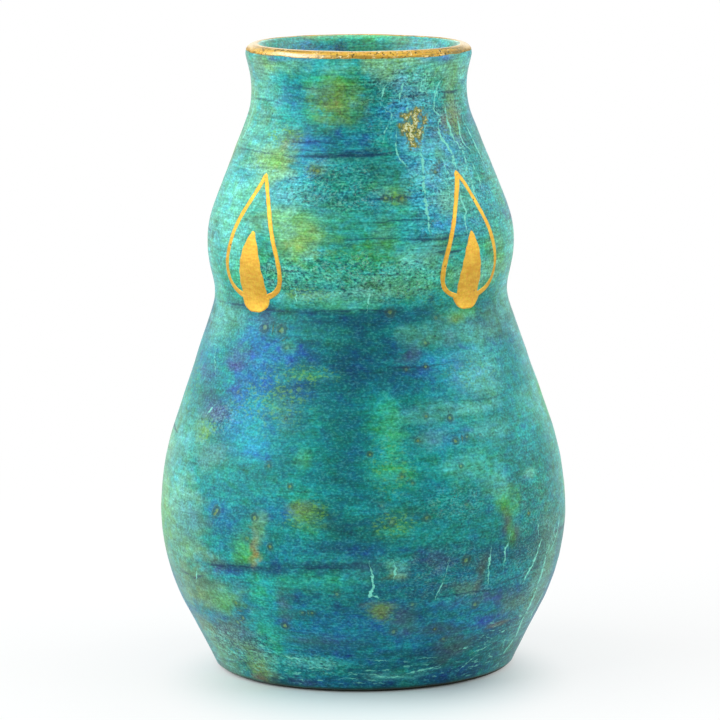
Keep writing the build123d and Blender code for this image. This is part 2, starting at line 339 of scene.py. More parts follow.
def surface(azimuth, along, lift=0.0, carved=0.0):
    """Points on the glaze in metres, `lift` mm above its surface. `carved` is extra relief in mm."""
    azimuth, along = np.broadcast_arrays(np.asarray(azimuth, float), np.asarray(along, float))
    way_r, way_z = np.interp(along, ALONG, WAYS[:, 0]), np.interp(along, ALONG, WAYS[:, 1])
    size = np.hypot(way_r, way_z)
    off = relief(azimuth, along) * smooth(0, FLOOR_FADE, END - along) + lift + carved
    r = radius_at(along) + off * way_z / size
    z = height_at(along) - off * way_r / size
    turn = np.radians(azimuth)
    z = z - MOUTH_TILT * r * np.sin(turn) * smooth(TILT_FROM, TILT_FULL, z)
    return np.stack([r * np.sin(turn), -r * np.cos(turn), z], -1) * MM


def grid_mesh(name, points, around=False, closed=False, uv=None, **attributes):
    """A smooth mesh of quads through rows and columns of points. `around` joins the last column to the
    first and `closed` the last row to the first. Each attribute has 3 or 4 numbers on every point."""
    rows, columns = points.shape[:2]
    j = np.arange(rows if closed else rows - 1)[:, None]
    i = np.arange(columns if around else columns - 1)[None, :]
    up, right = (j + 1) % rows, (i + 1) % columns
    corners = [j * columns + i, j * columns + right, up * columns + right, up * columns + i]
    corners = np.stack(corners, -1).reshape(-1, 4)
    mesh = bpy.data.meshes.new(name)
    mesh.vertices.add(rows * columns)
    mesh.vertices.foreach_set("co", points.reshape(-1))
    mesh.loops.add(corners.size)
    mesh.loops.foreach_set("vertex_index", corners.reshape(-1))
    mesh.polygons.add(len(corners))
    mesh.polygons.foreach_set("loop_start", np.arange(0, corners.size, 4))
    mesh.polygons.foreach_set("use_smooth", np.ones(len(corners), bool))
    if uv is not None:
        u, v = np.broadcast_arrays(*uv)
        wide = np.broadcast_to(np.stack([i, i + 1, i + 1, i], -1), (len(j), i.size, 4))
        tall = np.broadcast_to(np.stack([j, j, j + 1, j + 1], -1), (len(j), i.size, 4))
        layer = mesh.uv_layers.new(name="OFBake")
        layer.uv.foreach_set("vector", np.stack([u[tall, wide], v[tall, wide]], -1).reshape(-1))
    for key, values in attributes.items():
        colour = values.shape[-1] == 4
        layer = mesh.attributes.new(key, "FLOAT_COLOR" if colour else "FLOAT_VECTOR", "POINT")
        layer.data.foreach_set("color" if colour else "vector", values.reshape(-1))
    mesh.update()
    mesh.validate()
    piece = bpy.data.objects.new(name, mesh)
    bpy.context.scene.collection.objects.link(piece)
    return piece


def place(piece, material, node):
    """Gives a piece its material, puts it under the root body and hides the CAD node that it replaces."""
    piece.data.materials.append(material)
    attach(piece, "root")
    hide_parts(node)


# ---- Colours of the glaze ----


def linear(code):
    """A colour written as six hex digits, as linear numbers."""
    parts = [int(code[k : k + 2], 16) / 255 for k in (0, 2, 4)]
    return np.array([p / 12.92 if p <= 0.04045 else ((p + 0.055) / 1.055) ** 2.4 for p in parts])


PALETTE = dict(
    # glaze
    turquoise="159591", teal="057170", deep="034c58", navy="063258", cobalt="0f5f9e", sky="2a9cc8",
    violet="2a5098", plum="4c4676", green="1a9560", leaf="46a648", lime="88b84c", olive="72832a",
    ochre="a08028", rust="855230", sage="78aa70", aqua="74d0bc", pale="a4dcc6", jade="28a684",
    brown="50462e", crust_green="73842a", crust_gold="b9aa46", crust_cream="dfe8ba", hem_contact_shade="12301e",
    # gilding
    gold="c99d3b", gold_light="d8b14b", gold_deep="bc8d30", gold_brown="8c7438", gold_dark="3a3c26",
    gold_glint="f3e4b4", gold_highlight="f8ecd2", gold_gone="3c4a30", gold_pit="5a4318",
    # clay and floor
    clay="b59c7e", clay_light="d0bb9c", clay_speck="6b5138", clay_shade="10201a",
    paper_painted_shade="e4f1f1", paper="f6f9f9",
)
PALETTE = {name: linear(code) for name, code in PALETTE.items()}

LIGHT_COAT, DEEP_COAT, LINING_COAT = 1.35, 0.95, 1.2  # how bright each coat of the lustre is

# Washes over the outside, laid one over another: colour, azimuth, height, half width in degrees,
# half height in mm, strength. The back carries on the bands of the front.
BANDS = [
    ("turquoise", 0, 190, 180, 14, 0.5), ("teal", 0, 168, 180, 5, 0.35), ("jade", 0, 152, 180, 12, 0.4),
    ("aqua", 0, 150, 180, 30, 0.1), ("turquoise", 0, 197, 180, 3, 0.5), ("green", 0, 132, 180, 8, 0.3),
    ("deep", 0, 113, 180, 7, 0.6), ("cobalt", 0, 104, 180, 9, 0.25), ("turquoise", 0, 80, 180, 14, 0.3),
    ("teal", 0, 55, 180, 9, 0.4), ("cobalt", 0, 22, 180, 14, 0.35), ("deep", 0, 6, 180, 6, 0.3),
]
FRONT = [
    # broad changes round the vase
    ("aqua", -74, 172, 16, 26, 0.5), ("aqua", -70, 72, 12, 20, 0.5), ("aqua", -62, 146, 12, 12, 0.35),
    ("sage", -66, 44, 12, 22, 0.35), ("aqua", 76, 150, 12, 40, 0.35), ("aqua", 40, 162, 16, 16, 0.25),
    ("turquoise", 44, 96, 18, 16, 0.45), ("deep", 16, 36, 42, 15, 0.35), ("deep", -4, 84, 9, 36, 0.35),
    ("cobalt", -36, 92, 14, 22, 0.35), ("cobalt", 24, 34, 30, 12, 0.15), ("teal", 0, 120, 60, 7, 0.4),
    ("teal", -8, 164, 18, 18, 0.35), ("deep", -8, 176, 14, 5, 0.25), ("deep", -20, 96, 7, 6, 0.4),
    ("aqua", -70, 114, 10, 9, 0.45), ("aqua", 80, 90, 12, 40, 0.4), ("sage", -82, 62, 10, 22, 0.5),
    ("deep", 4, 30, 22, 14, 0.35), ("sky", 30, 195, 18, 4, 0.35), ("sky", -22, 196, 9, 3, 0.4),
    # the neck
    ("turquoise", -66, 178, 20, 24, 0.7), ("aqua", -60, 188, 18, 10, 0.35), ("sage", -58, 197, 9, 3, 0.5),
    ("turquoise", -40, 192, 16, 7, 0.5), ("cobalt", -38, 185, 10, 4, 0.4), ("cobalt", -33, 192, 5, 4, 0.3),
    ("sage", -44, 195.5, 12, 2.4, 0.4), ("green", -18, 193, 18, 5, 0.4), ("leaf", -13, 185.4, 16, 7.5, 0.8),
    ("olive", -12, 183.6, 13, 5, 0.35), ("ochre", -11, 182, 9, 1.0, 0.3), ("leaf", -8, 190, 8, 3, 0.4),
    ("green", -3, 188, 5, 10, 0.5), ("deep", 10, 182, 12, 11, 0.35), ("sage", 17, 197, 16, 4, 0.95),
    ("sage", 17, 193, 7, 3.4, 0.85), ("lime", 16, 196, 9, 2.5, 0.4), ("cobalt", 25, 189, 6, 5, 0.5),
    ("sky", 24, 183, 5, 6, 0.5), ("deep", 14, 177, 9, 5, 0.35), ("green", 14, 174, 6, 5, 0.4),
    ("jade", 37, 192, 9, 5, 0.4), ("leaf", 41, 193, 4, 4, 0.55), ("leaf", 58, 190, 7, 8, 0.5),
    ("olive", 57, 178, 5, 12, 0.5), ("aqua", 40, 197, 30, 2, 0.4), ("cobalt", 44, 174, 7, 5, 0.6),
    ("rust", 50, 178, 4, 3.5, 0.45), ("ochre", 27, 175.6, 4.5, 3.2, 0.5), ("olive", 33, 179.6, 4, 1.8, 0.5),
    ("navy", 34, 185.6, 10, 1.4, 0.5), ("sky", 36, 180, 8, 5, 0.4), ("cobalt", 33, 172, 9, 4, 0.4),
    ("sky", 30, 166, 10, 8, 0.6), ("aqua", 26, 174, 7, 7, 0.3), ("cobalt", 22, 170, 5, 6, 0.5),
    ("aqua", 41, 168, 6, 10, 0.35), ("violet", 52, 168, 9, 6, 0.25), ("turquoise", 66, 176, 9, 20, 0.6),
    ("rust", 58, 172, 4, 2, 0.35), ("navy", 58, 186, 9, 1.0, 0.4),
    # the shoulder of the neck
    ("aqua", -55, 172, 22, 6, 0.45), ("sky", -30, 167, 11, 8, 0.5), ("lime", -46, 166, 14, 4.5, 0.75),
    ("lime", -38, 164, 6, 4, 0.5), ("olive", -38, 173, 8, 2.6, 0.4), ("ochre", -40, 171, 4, 1.4, 0.4),
    ("cobalt", -28, 172, 10, 2.2, 0.45), ("cobalt", -10, 172.6, 18, 3.2, 0.45),
    ("navy", 0, 168.4, 17, 0.9, 0.85), ("deep", 9, 169.6, 8, 1.8, 0.6), ("aqua", -48, 157, 18, 6, 0.7),
    ("aqua", -60, 152, 12, 8, 0.4), ("sky", -32, 158, 10, 8, 0.45), ("olive", -20, 164.2, 5, 1.6, 0.5),
    ("teal", -4, 160, 18, 7, 0.3), ("deep", 6, 161, 4, 9, 0.3), ("leaf", 14, 157, 7, 4, 0.5),
    ("olive", 15, 155.5, 5, 2.2, 0.4), ("navy", 15, 155.2, 13, 0.6, 0.6), ("deep", 15, 162, 4, 4, 0.35),
    ("sky", 27, 156, 7, 9, 0.5), ("sky", 34, 148, 9, 6, 0.4), ("turquoise", 44, 152, 12, 8, 0.4),
    ("turquoise", 64, 156, 14, 16, 0.6),
    # the upper swell
    ("aqua", -18, 152, 10, 5, 0.3), ("leaf", -26, 145, 13, 8, 0.6), ("sage", -24, 143.5, 10, 7, 0.65),
    ("lime", -21, 142, 6, 5, 0.4), ("ochre", -23, 142, 3, 2, 0.3), ("lime", -33, 149, 5, 4, 0.4),
    ("green", -40, 140, 6, 7, 0.3), ("aqua", -55, 140, 9, 10, 0.35), ("olive", 8, 145, 4, 4.5, 0.4),
    ("leaf", 5, 139, 8, 4, 0.45), ("green", 0, 136, 12, 5, 0.35), ("navy", 32, 142.6, 12, 0.7, 0.7),
    ("navy", 34, 138.2, 8, 0.8, 0.7), ("turquoise", 22, 140, 9, 7, 0.45), ("jade", 44, 134, 14, 7, 0.5),
    ("aqua", 22, 134, 14, 4, 0.3), ("leaf", 62, 134, 8, 10, 0.35), ("green", -52, 128, 14, 6, 0.4),
    ("navy", -34, 133, 8, 0.7, 0.4), ("navy", -30, 129, 12, 0.8, 0.4), ("olive", -21, 125.8, 8, 1.2, 0.6),
    ("aqua", -20, 131, 16, 3, 0.3), ("sage", 14, 128, 16, 3.4, 0.35), ("navy", 27, 123.6, 1.6, 1.6, 0.7),
    ("navy", 4, 143.4, 8, 0.6, 0.4), ("navy", 16, 148.6, 9, 0.6, 0.4),
    # the waist
    ("navy", 2, 118, 24, 3.6, 0.6), ("deep", 2, 110, 14, 9, 0.6), ("navy", -42, 120.6, 16, 1.6, 0.75),
    ("plum", -40, 116, 5, 2.4, 0.35), ("leaf", 40, 118.5, 9, 2.6, 0.7), ("olive", 38, 117.5, 6, 1.6, 0.5),
    ("navy", -14, 120, 16, 1.2, 0.5), ("turquoise", 36, 112, 16, 5, 0.4), ("teal", 62, 116, 8, 12, 0.4),
    ("plum", 34, 112, 3, 2.4, 0.4), ("plum", 18, 107.4, 4, 3, 0.45), ("cobalt", -34, 108, 12, 6, 0.45),
    ("sky", -46, 113, 9, 4, 0.4), ("leaf", -20, 102, 9, 2.0, 0.5), ("plum", -48, 102.6, 7, 1.3, 0.8),
    ("sky", 34, 102, 12, 6, 0.5), ("aqua", 44, 98, 9, 7, 0.4), ("turquoise", -58, 112, 10, 10, 0.5),
    ("navy", 17, 101, 12, 4, 0.4), ("leaf", -27, 110, 3, 1.6, 0.4), ("navy", -4, 104, 9, 1.2, 0.5),
    # the belly, upper half
    ("cobalt", -40, 98, 12, 7, 0.5), ("violet", -47, 93, 6, 8, 0.3), ("cobalt", -23, 97, 4, 4, 0.6),
    ("sky", -36, 84, 8, 12, 0.65), ("leaf", -29, 93, 3.4, 6, 0.4), ("plum", -54, 88, 8, 2.4, 0.6),
    ("deep", -57, 92, 7, 3, 0.5), ("sage", -60, 81, 6, 5, 0.4), ("lime", -56, 81.5, 3, 1.6, 0.5),
    ("aqua", -24, 92, 4, 6, 0.3), ("green", -17, 90, 5, 8, 0.3), ("leaf", -17, 74.5, 2.4, 3.2, 0.5),
    ("deep", -5, 92, 6, 22, 0.3), ("jade", 8, 88, 5.5, 10, 0.6), ("leaf", 9, 86, 4, 7, 0.35),
    ("jade", 8, 74, 6, 8, 0.5), ("leaf", 8, 73, 4, 4, 0.3), ("turquoise", 26, 90, 12, 10, 0.35),
    ("aqua", 38, 90, 10, 2.4, 0.4), ("jade", 33, 74, 12, 6, 0.4), ("teal", 46, 78, 6, 12, 0.35),
    ("turquoise", 64, 92, 12, 20, 0.5), ("turquoise", -44, 70, 9, 8, 0.35), ("jade", -38, 72, 10, 3, 0.35),
    ("deep", 20, 67, 16, 3, 0.35),
    # the belly, lower half
    ("olive", -17, 60, 4.5, 3.6, 0.65), ("leaf", -14, 57, 6, 4, 0.45), ("cobalt", -26, 60, 6, 4, 0.5),
    ("deep", -3, 54, 10, 6, 0.5), ("leaf", 8, 57, 5, 4.5, 0.4), ("jade", -1, 60, 3, 1.4, 0.4),
    ("cobalt", -44, 56, 7, 6, 0.5), ("leaf", 45, 60, 5, 5, 0.6), ("aqua", 56, 66.8, 4.5, 1.6, 0.4),
    ("brown", 43, 53, 2, 3, 0.7), ("brown", 46.6, 49, 3, 3, 0.6), ("leaf", 44.6, 49, 1.4, 4, 0.6),
    ("sage", -58, 50, 8, 12, 0.5), ("leaf", -35, 46.6, 4.6, 5.4, 0.8), ("ochre", -31.8, 47, 1.3, 6.5, 0.8),
    ("lime", -30.4, 54, 2, 5, 0.5), ("cobalt", -10, 48, 18, 4, 0.3), ("navy", -34, 41.4, 20, 1.6, 0.6),
    ("navy", -6, 43.4, 13, 1.4, 0.55), ("violet", -43, 39.6, 9, 1.6, 0.5),
    ("jade", 8.2, 42.6, 2.2, 3.0, 0.5), ("olive", 8.4, 40, 1.8, 1.4, 0.6), ("navy", 28, 44, 16, 6, 0.35),
    ("plum", 20, 44, 4, 4, 0.3), ("brown", 34, 38, 2, 6, 0.6), ("jade", -31, 34, 3.4, 8, 0.75),
    ("turquoise", -31, 18, 4.6, 13, 0.65), ("jade", -14, 38, 18, 2.2, 0.4), ("sage", -52, 30, 13, 8, 0.6),
    ("leaf", -45, 28, 7, 6, 0.4), ("olive", -44, 16, 7, 9, 0.4), ("brown", -23.5, 30, 1.8, 7, 0.4),
    ("olive", 5, 28.4, 3.4, 3.4, 0.7), ("brown", 12, 24, 5, 5, 0.45), ("brown", 22, 22, 5, 3, 0.4),
    ("cobalt", 0, 19, 26, 8, 0.3), ("violet", -16, 18, 11, 1.0, 0.6), ("navy", 10, 13.6, 26, 1.6, 0.4),
    ("violet", 42, 22, 8, 4, 0.5), ("ochre", 46, 20, 5, 0.9, 0.6), ("deep", 30, 12, 18, 9, 0.5),
    ("brown", 30, 14, 6, 7, 0.4), ("plum", 38, 30, 14, 1.6, 0.4), ("sage", 64, 30, 8, 24, 0.4),
    ("turquoise", 62, 14, 9, 9, 0.4), ("olive", -41, 4.5, 6, 4, 0.7), ("rust", -43, 2.4, 4, 1.4, 0.7),
    ("navy", -30, 2.6, 7, 1.6, 0.6), ("sage", -62, 10, 10, 9, 0.5), ("turquoise", -20, 8, 14, 4, 0.4),
    ("navy", 30, 4, 24, 3, 0.5), ("jade", 17, 3, 5, 2, 0.6),
    # thin last washes, in several passes from the rim down; the sage and plum ones at 60 to 85 degrees
    # either side partly paint in a paler sheen at the sides
    ("aqua", 30, 193, 15, 5, 0.35), ("sky", -20, 194, 9, 3, 0.45), ("sage", -60, 194, 12, 4, 0.45),
    ("teal", -72, 186, 10, 8, 0.35), ("aqua", 30, 186, 14, 6, 0.25), ("sky", 21, 178, 13, 6, 0.35),
    ("teal", -10, 178, 9, 4, 0.45), ("turquoise", 20, 170, 12, 5, 0.4), ("sage", -72, 170, 10, 6, 0.3),
    ("sky", 50, 170, 8, 5, 0.4), ("sky", 40, 162, 13, 6, 0.45), ("lime", -41, 162, 9, 4, 0.5),
    ("teal", -15, 154, 10, 5, 0.4), ("turquoise", 40, 154, 13, 5, 0.35), ("sage", -40, 147, 8, 4, 0.5),
    ("jade", 10, 146, 13, 4, 0.45), ("aqua", 20, 138, 7, 4, 0.3), ("jade", 40, 138, 7, 4, 0.4),
    ("jade", -20, 130, 9, 4, 0.4), ("jade", 20, 130, 9, 4, 0.4), ("aqua", -5, 124, 14, 2.6, 0.5),
    ("aqua", -30, 124, 8, 2.6, 0.4), ("turquoise", -30, 114, 7, 4, 0.35),
    ("turquoise", 25, 114, 18, 4, 0.4), ("sky", -35, 106, 9, 4, 0.4), ("turquoise", 45, 106, 9, 4, 0.4),
    ("deep", -20, 94, 7, 8, 0.45), ("sky", 25, 82, 9, 5, 0.4), ("teal", -40, 66, 7, 4, 0.4),
    ("turquoise", 25, 66, 18, 4, 0.4), ("deep", 0, 58, 14, 4, 0.4), ("teal", -30, 58, 6, 4, 0.4),
    ("deep", -56, 50, 9, 6, 0.4), ("deep", -10, 50, 7, 4, 0.4), ("deep", 56, 43, 9, 7, 0.4),
    ("olive", -56, 34, 9, 5, 0.35), ("sage", -76, 180, 10, 8, 0.4), ("sage", -30, 195, 6, 3, 0.3),
    ("aqua", -8, 194, 10, 3, 0.3), ("aqua", 15, 193, 9, 4, 0.25), ("sage", 57, 192, 10, 8, 0.4),
    ("sage", -60, 187, 8, 4, 0.4), ("olive", 60, 180, 6, 6, 0.3), ("sky", 31, 176, 8, 4, 0.4),
    ("sky", 31, 170, 8, 4, 0.4), ("teal", 66, 168, 9, 8, 0.4), ("aqua", 48, 160, 10, 4, 0.35),
    ("aqua", 44, 153, 10, 4, 0.3), ("aqua", -30, 146, 6, 4, 0.25), ("sky", 50, 146, 6, 4, 0.3),
    ("teal", -20, 130, 7, 3, 0.3), ("sage", 50, 130, 10, 4, 0.3), ("green", -5, 122.6, 14, 2, 0.35),
    ("green", -30, 122, 7, 2.4, 0.4), ("aqua", 46, 113, 10, 4, 0.3), ("sage", 20, 113, 6, 3, 0.2),
    ("aqua", 44, 106, 9, 4, 0.2), ("deep", -12, 98, 16, 4, 0.35), ("teal", -30, 105, 5, 3, 0.3),
    ("aqua", 21, 90, 8, 4, 0.25), ("turquoise", -36, 83, 10, 6, 0.4), ("sage", 19, 82, 6, 3, 0.25),
    ("aqua", 41, 82, 8, 4, 0.25), ("teal", -41, 74, 7, 4, 0.3), ("deep", -8, 66, 8, 3, 0.25),
    ("deep", -6, 57, 9, 4, 0.35), ("deep", 20, 58, 6, 3, 0.25), ("deep", -41, 50, 6, 3, 0.3),
    ("deep", -8, 42, 9, 2, 0.35), ("deep", 56, 40, 8, 6, 0.3), ("deep", -56, 34, 8, 4, 0.35),
    ("deep", 20, 34, 6, 3, 0.3), ("deep", 50, 28, 7, 5, 0.3), ("navy", -45, 18, 8, 4, 0.3),
    ("deep", 4, 10, 12, 3, 0.4), ("deep", 50, 10, 8, 3, 0.35), ("teal", -60, 186, 8, 6, 0.3),
    ("sage", 55, 194, 10, 4, 0.3), ("aqua", 42, 194, 8, 3, 0.3), ("sage", -82, 192, 9, 8, 0.4),
    ("sky", 30, 178, 6, 3, 0.3), ("olive", -58, 178, 8, 5, 0.3), ("teal", -64, 170, 10, 4, 0.3),
    ("sky", 30, 169, 7, 4, 0.45), ("aqua", 31, 162, 8, 4, 0.4), ("sky", 41, 162, 6, 4, 0.3),
    ("green", -51, 154, 8, 4, 0.3), ("aqua", -30, 154, 6, 4, 0.3), ("sage", 38, 153, 8, 4, 0.4),
    ("sky", 60, 153, 6, 4, 0.3), ("sky", 30, 146, 7, 4, 0.35), ("sage", 30, 138, 6, 4, 0.3),
    ("aqua", 50, 131, 9, 4, 0.3), ("sage", 60, 138, 6, 4, 0.35), ("sage", 38, 130, 6, 3, 0.3),
    ("aqua", -80, 134, 9, 14, 0.3), ("green", -30, 122, 6, 2.4, 0.35), ("green", 0, 121.6, 10, 2, 0.3),
    ("jade", -11, 113, 8, 3, 0.3), ("sage", -60, 116, 9, 6, 0.25), ("aqua", 70, 194, 12, 4, 0.35),
    ("plum", -80, 194, 8, 4, 0.3), ("aqua", 69, 186, 12, 4, 0.3), ("sky", -20, 186, 7, 4, 0.35),
    ("sky", 30, 178, 6, 3, 0.3), ("rust", 58, 179, 5, 4, 0.3), ("aqua", 30, 170, 7, 4, 0.35),
    ("sky", -50, 170, 6, 4, 0.2), ("sky", 40, 162, 7, 4, 0.35), ("aqua", 40, 162, 7, 4, 0.15),
    ("sky", -55, 162, 10, 4, 0.25), ("teal", -30, 162, 5, 3, 0.25), ("teal", -16, 154, 9, 4, 0.3),
    ("sky", 30, 154, 7, 4, 0.35), ("aqua", 40, 154, 7, 4, 0.25), ("sky", 10, 154, 6, 4, 0.25),
    ("turquoise", -40, 146, 5, 4, 0.3), ("sky", 41, 146, 6, 4, 0.35), ("sky", 20, 146, 6, 4, 0.25),
    ("lime", -20, 138, 6, 3, 0.3), ("sage", 62, 130, 8, 4, 0.3), ("deep", -30, 122, 6, 2.5, 0.3),
    ("deep", -10, 114, 6, 3, 0.2), ("sage", 30, 114, 6, 4, 0.15), ("sage", 62, 114, 8, 5, 0.2),
    ("plum", -50, 106, 7, 4, 0.3), ("plum", -65, 98, 8, 5, 0.3), ("cobalt", -20, 94, 6, 6, 0.25),
    ("sage", 70, 88, 12, 8, 0.2), ("plum", -60, 90, 7, 4, 0.3), ("cobalt", -50, 74, 6, 4, 0.3),
    ("deep", -15, 58, 8, 3.5, 0.2), ("navy", 5, 58, 10, 3.5, 0.25), ("sky", -60, 54, 7, 7, 0.25),
    ("cobalt", -40, 50, 6, 4, 0.2), ("plum", 0, 42, 6, 3, 0.3), ("ochre", -50, 42, 6, 3, 0.15),
    ("sage", -70, 26, 7, 4, 0.25), ("leaf", -58, 26, 5, 4, 0.15), ("teal", -45, 18, 8, 3.5, 0.3),
    ("plum", -12, 18, 14, 3, 0.2), ("navy", 0, 3.4, 60, 1.6, 0.4), ("cobalt", -14, 4.6, 11, 2.6, 0.4),
    ("plum", -22, 3.6, 6, 1.6, 0.4), ("aqua", -20, 10.6, 12, 1.6, 0.3), ("cobalt", 26, 5, 14, 2.4, 0.3),
    ("aqua", 12, 6.4, 10, 1.2, 0.3), ("aqua", 8.6, 43.2, 2.2, 2.4, 0.5), ("aqua", 56, 66.8, 3.2, 1.5, 0.5),
    ("jade", -31, 19, 5, 9, 0.35), ("green", -31, 18, 4, 6, 0.35), ("navy", -15, 16.8, 10, 1.5, 0.45),
    ("plum", -18, 17.2, 7, 0.8, 0.3), ("olive", -11, 184.5, 13, 6.5, 0.35), ("navy", -40, 41, 17, 1.3, 0.6),
    ("navy", -12, 42.9, 15, 1.1, 0.5), ("violet", -45, 197.5, 16, 0.7, 0.6),
    ("violet", 46, 197.2, 13, 1.2, 0.6), ("pale", 27, 197.4, 5, 0.9, 0.7), ("plum", -62, 195, 5, 2.4, 0.35),
    ("lime", -53, 194.5, 5, 1.8, 0.3), ("navy", -44, 120.2, 22, 1.5, 0.4), ("navy", 33, 138.4, 8, 0.9, 0.3),
    ("deep", -26, 97, 8, 4, 0.3), ("deep", -70, 90, 9, 5, 0.4), ("teal", -21, 90, 6, 4, 0.3),
    ("teal", -70, 82, 9, 4, 0.35), ("deep", -70, 70, 9, 6, 0.3), ("deep", -21, 73, 6, 3, 0.25),
    ("aqua", 31, 73, 9, 4, 0.2), ("sage", -50, 74, 7, 5, 0.3), ("aqua", 40, 66, 6, 4, 0.3),
    ("deep", 51, 66, 6, 4, 0.3), ("deep", 72, 68, 9, 8, 0.3), ("teal", -40, 66, 6, 3, 0.25),
    ("jade", -20, 66, 6, 3, 0.3), ("teal", -31, 50, 5, 4, 0.4), ("deep", -10, 50, 7, 3, 0.25),
    ("deep", 0, 42, 5, 2.4, 0.45), ("sage", -80, 46, 10, 12, 0.3), ("deep", 22, 34, 6, 3, 0.3),
    ("olive", 30, 34, 6, 3, 0.3), ("deep", 52, 34, 8, 4, 0.3), ("olive", -60, 26, 8, 4, 0.35),
    ("deep", -50, 34, 7, 4, 0.3), ("olive", 50, 26, 6, 3, 0.3), ("olive", -66, 18, 10, 4, 0.4),
    ("cobalt", -46, 18, 7, 4, 0.3), ("green", -20, 18, 8, 3, 0.3), ("deep", 5, 18, 9, 3, 0.3),
    ("sage", -40, 10, 8, 3, 0.3), ("deep", 20, 26, 7, 4, 0.3), ("olive", -50, 18, 7, 5, 0.3),
    ("deep", 0, 18, 9, 4, 0.35), ("deep", 50, 19, 8, 6, 0.4),
]

# Washes on the lining, the same way but with the depth below the crest in place of the height.
INSIDE = [
    ("jade", 0, 0, 180, 16, 0.6), ("jade", 175, 4, 34, 9, 0.5), ("turquoise", 235, 6, 18, 8, 0.5),
    ("sky", 213, 7.5, 20, 4.5, 0.7), ("cobalt", 209, 8, 14, 4, 0.4), ("sky", 215, 9, 12, 2.5, 0.5),
    ("navy", 192, 6.5, 3.5, 2, 0.7), ("navy", 187, 9, 3.5, 2, 0.8), ("leaf", 165, 4, 16, 4, 0.45),
    ("olive", 204, 1.4, 13, 1.2, 0.6), ("leaf", 178, 1.2, 14, 1.6, 0.5), ("olive", 150, 3, 9, 1.0, 0.4),
    ("aqua", 128, 6, 20, 3, 0.5), ("sky", 142, 8, 18, 2.5, 0.5), ("turquoise", 172, 9, 12, 3, 0.4),
    ("cobalt", -55, 7, 30, 6, 0.6), ("sky", 20, 4, 26, 4, 0.5), ("green", 60, 12, 30, 9, 0.4),
]

# Where the shader adds green flecks, pale crackle and scraped streaks: ellipses of the same kind.
FLECKS = [
    (-40, 173, 10, 3.4, 1.0), (-46, 165, 12, 4, 0.8), (-20, 164, 6, 2, 0.8), (15, 156, 7, 3, 0.9),
    (-30, 93, 14, 10, 0.7), (-12, 184, 14, 6, 0.8), (17, 196, 15, 4, 0.8), (8, 74, 6, 9, 0.6),
    (-16, 60, 7, 5, 0.8), (8, 57, 6, 4, 0.9), (45, 60, 5, 5, 0.5), (40, 100, 12, 6, 0.5),
    (0, 137, 16, 6, 0.5), (-20, 126, 10, 2.4, 0.9), (28, 126, 20, 4, 0.4), (-18, 101, 10, 3, 0.8),
    (52, 176, 9, 6, 0.8), (-56, 82, 6, 4, 0.9), (5, 28, 5, 5, 0.6), (-45, 8, 10, 8, 0.6),
    (-23, 145, 12, 6, 0.5),
]
CRACKLE = [
    (22, 188, 26, 9, 0.9), (50, 178, 24, 13, 0.7), (34, 158, 18, 14, 0.7), (-10, 159, 26, 8, 0.8),
    (-4, 132, 46, 7, 0.9), (60, 158, 20, 18, 0.7), (10, 176, 10, 8, 0.4), (-50, 86, 6, 4, 0.7),
    (28, 40, 22, 10, 0.35), (60, 40, 14, 30, 0.5), (26, 62, 10, 5, 0.5), (-30, 132, 16, 6, 0.5),
    (-48, 13, 18, 8, 0.9), (-20, 10, 14, 4, 0.6),
]
SCRAPES = [(0, 6.5, 180, 5, 0.42), (-50, 13, 26, 7, 0.45), (56, 15, 20, 9, 0.6)]


def cover(azimuth, along, at_azimuth, at_height, reach, rise, edge=0.0):
    """From 1 in the middle of an ellipse on the outside to 0 past its edge."""
    across = apart(azimuth, at_azimuth) / reach if reach < 180 else 0
    far = np.hypot(across, (along - outside_along(at_height)) / rise) + edge
    return smooth(1.45, 0.45, far)


def washed(azimuth, along, ground, washes, seed, brushed=1.0):
    """Linear colours of a glaze: the ground with each wash over it, warped and ragged at the edges.
    `brushed` is how far in mm the brush has drawn each colour out round the vase."""

    def ripple(number, around, cell):
        return noise(seed + number, around, cell, azimuth, along)

    degrees = 57.3 / np.maximum(radius_at(along), 20)  # to 1 mm round the vase
    shifted = 1.7 * ripple(0, 20, 12) + 0.8 * ripple(1, 70, 4) + brushed * ripple(9, 18, 1.5)
    turned = azimuth + degrees * shifted
    moved = along + 1.3 * ripple(2, 16, 9) + 0.5 * ripple(3, 60, 4)
    ragged = 0.26 * ripple(4, 90, 2.6) + 0.14 * ripple(5, 40, 1.1) + 0.22 * ripple(8, 230, 1.2)
    drift = ripple(6, 12, 10) + 0.5 * ripple(7, 30, 4)
    colour = np.broadcast_to(PALETTE[ground], (*azimuth.shape, 3)).copy()
    colour += (PALETTE["teal"] - colour) * smooth(-0.2, 1.6, drift)[..., None]
    colour += (PALETTE["jade"] - colour) * 0.7 * smooth(0.1, 1.8, -drift)[..., None]
    for name, at_azimuth, at_height, reach, rise, strength in washes:
        amount = strength * cover(turned, moved, at_azimuth, at_height, reach, rise, ragged)
        colour += (PALETTE[name] - colour) * amount[..., None]
    return colour


def coats(azimuth, along, washes, seed):
    """The light coat and the deep one under it, as RGBA: the same washes, brushed on twice."""
    light = washed(azimuth, along, "turquoise", washes, seed) * LIGHT_COAT
    deep = washed(azimuth, along, "deep", washes, seed + 100, 2.5)
    deep = (deep + (PALETTE["navy"] - deep) * 0.18) * DEEP_COAT
    full = np.ones((*light.shape[:2], 1))
    return [np.concatenate([np.clip(coat, 0, 1), full], -1) for coat in (light, deep)]


def amounts(azimuth, along, *lists):
    """One number for each list of ellipses, as the three parts of a vector."""
    ragged = 0.2 * noise(61, 60, 3, azimuth, along)
    parts = []
    for ellipses in lists:
        part = np.zeros(azimuth.shape)
        for *ellipse, strength in ellipses:
            part = np.maximum(part, strength * cover(azimuth, along, *ellipse, ragged))
        parts.append(part)
    return np.stack(parts, -1)


# ---- The back, in the same hand: the photograph doesn't show it ----


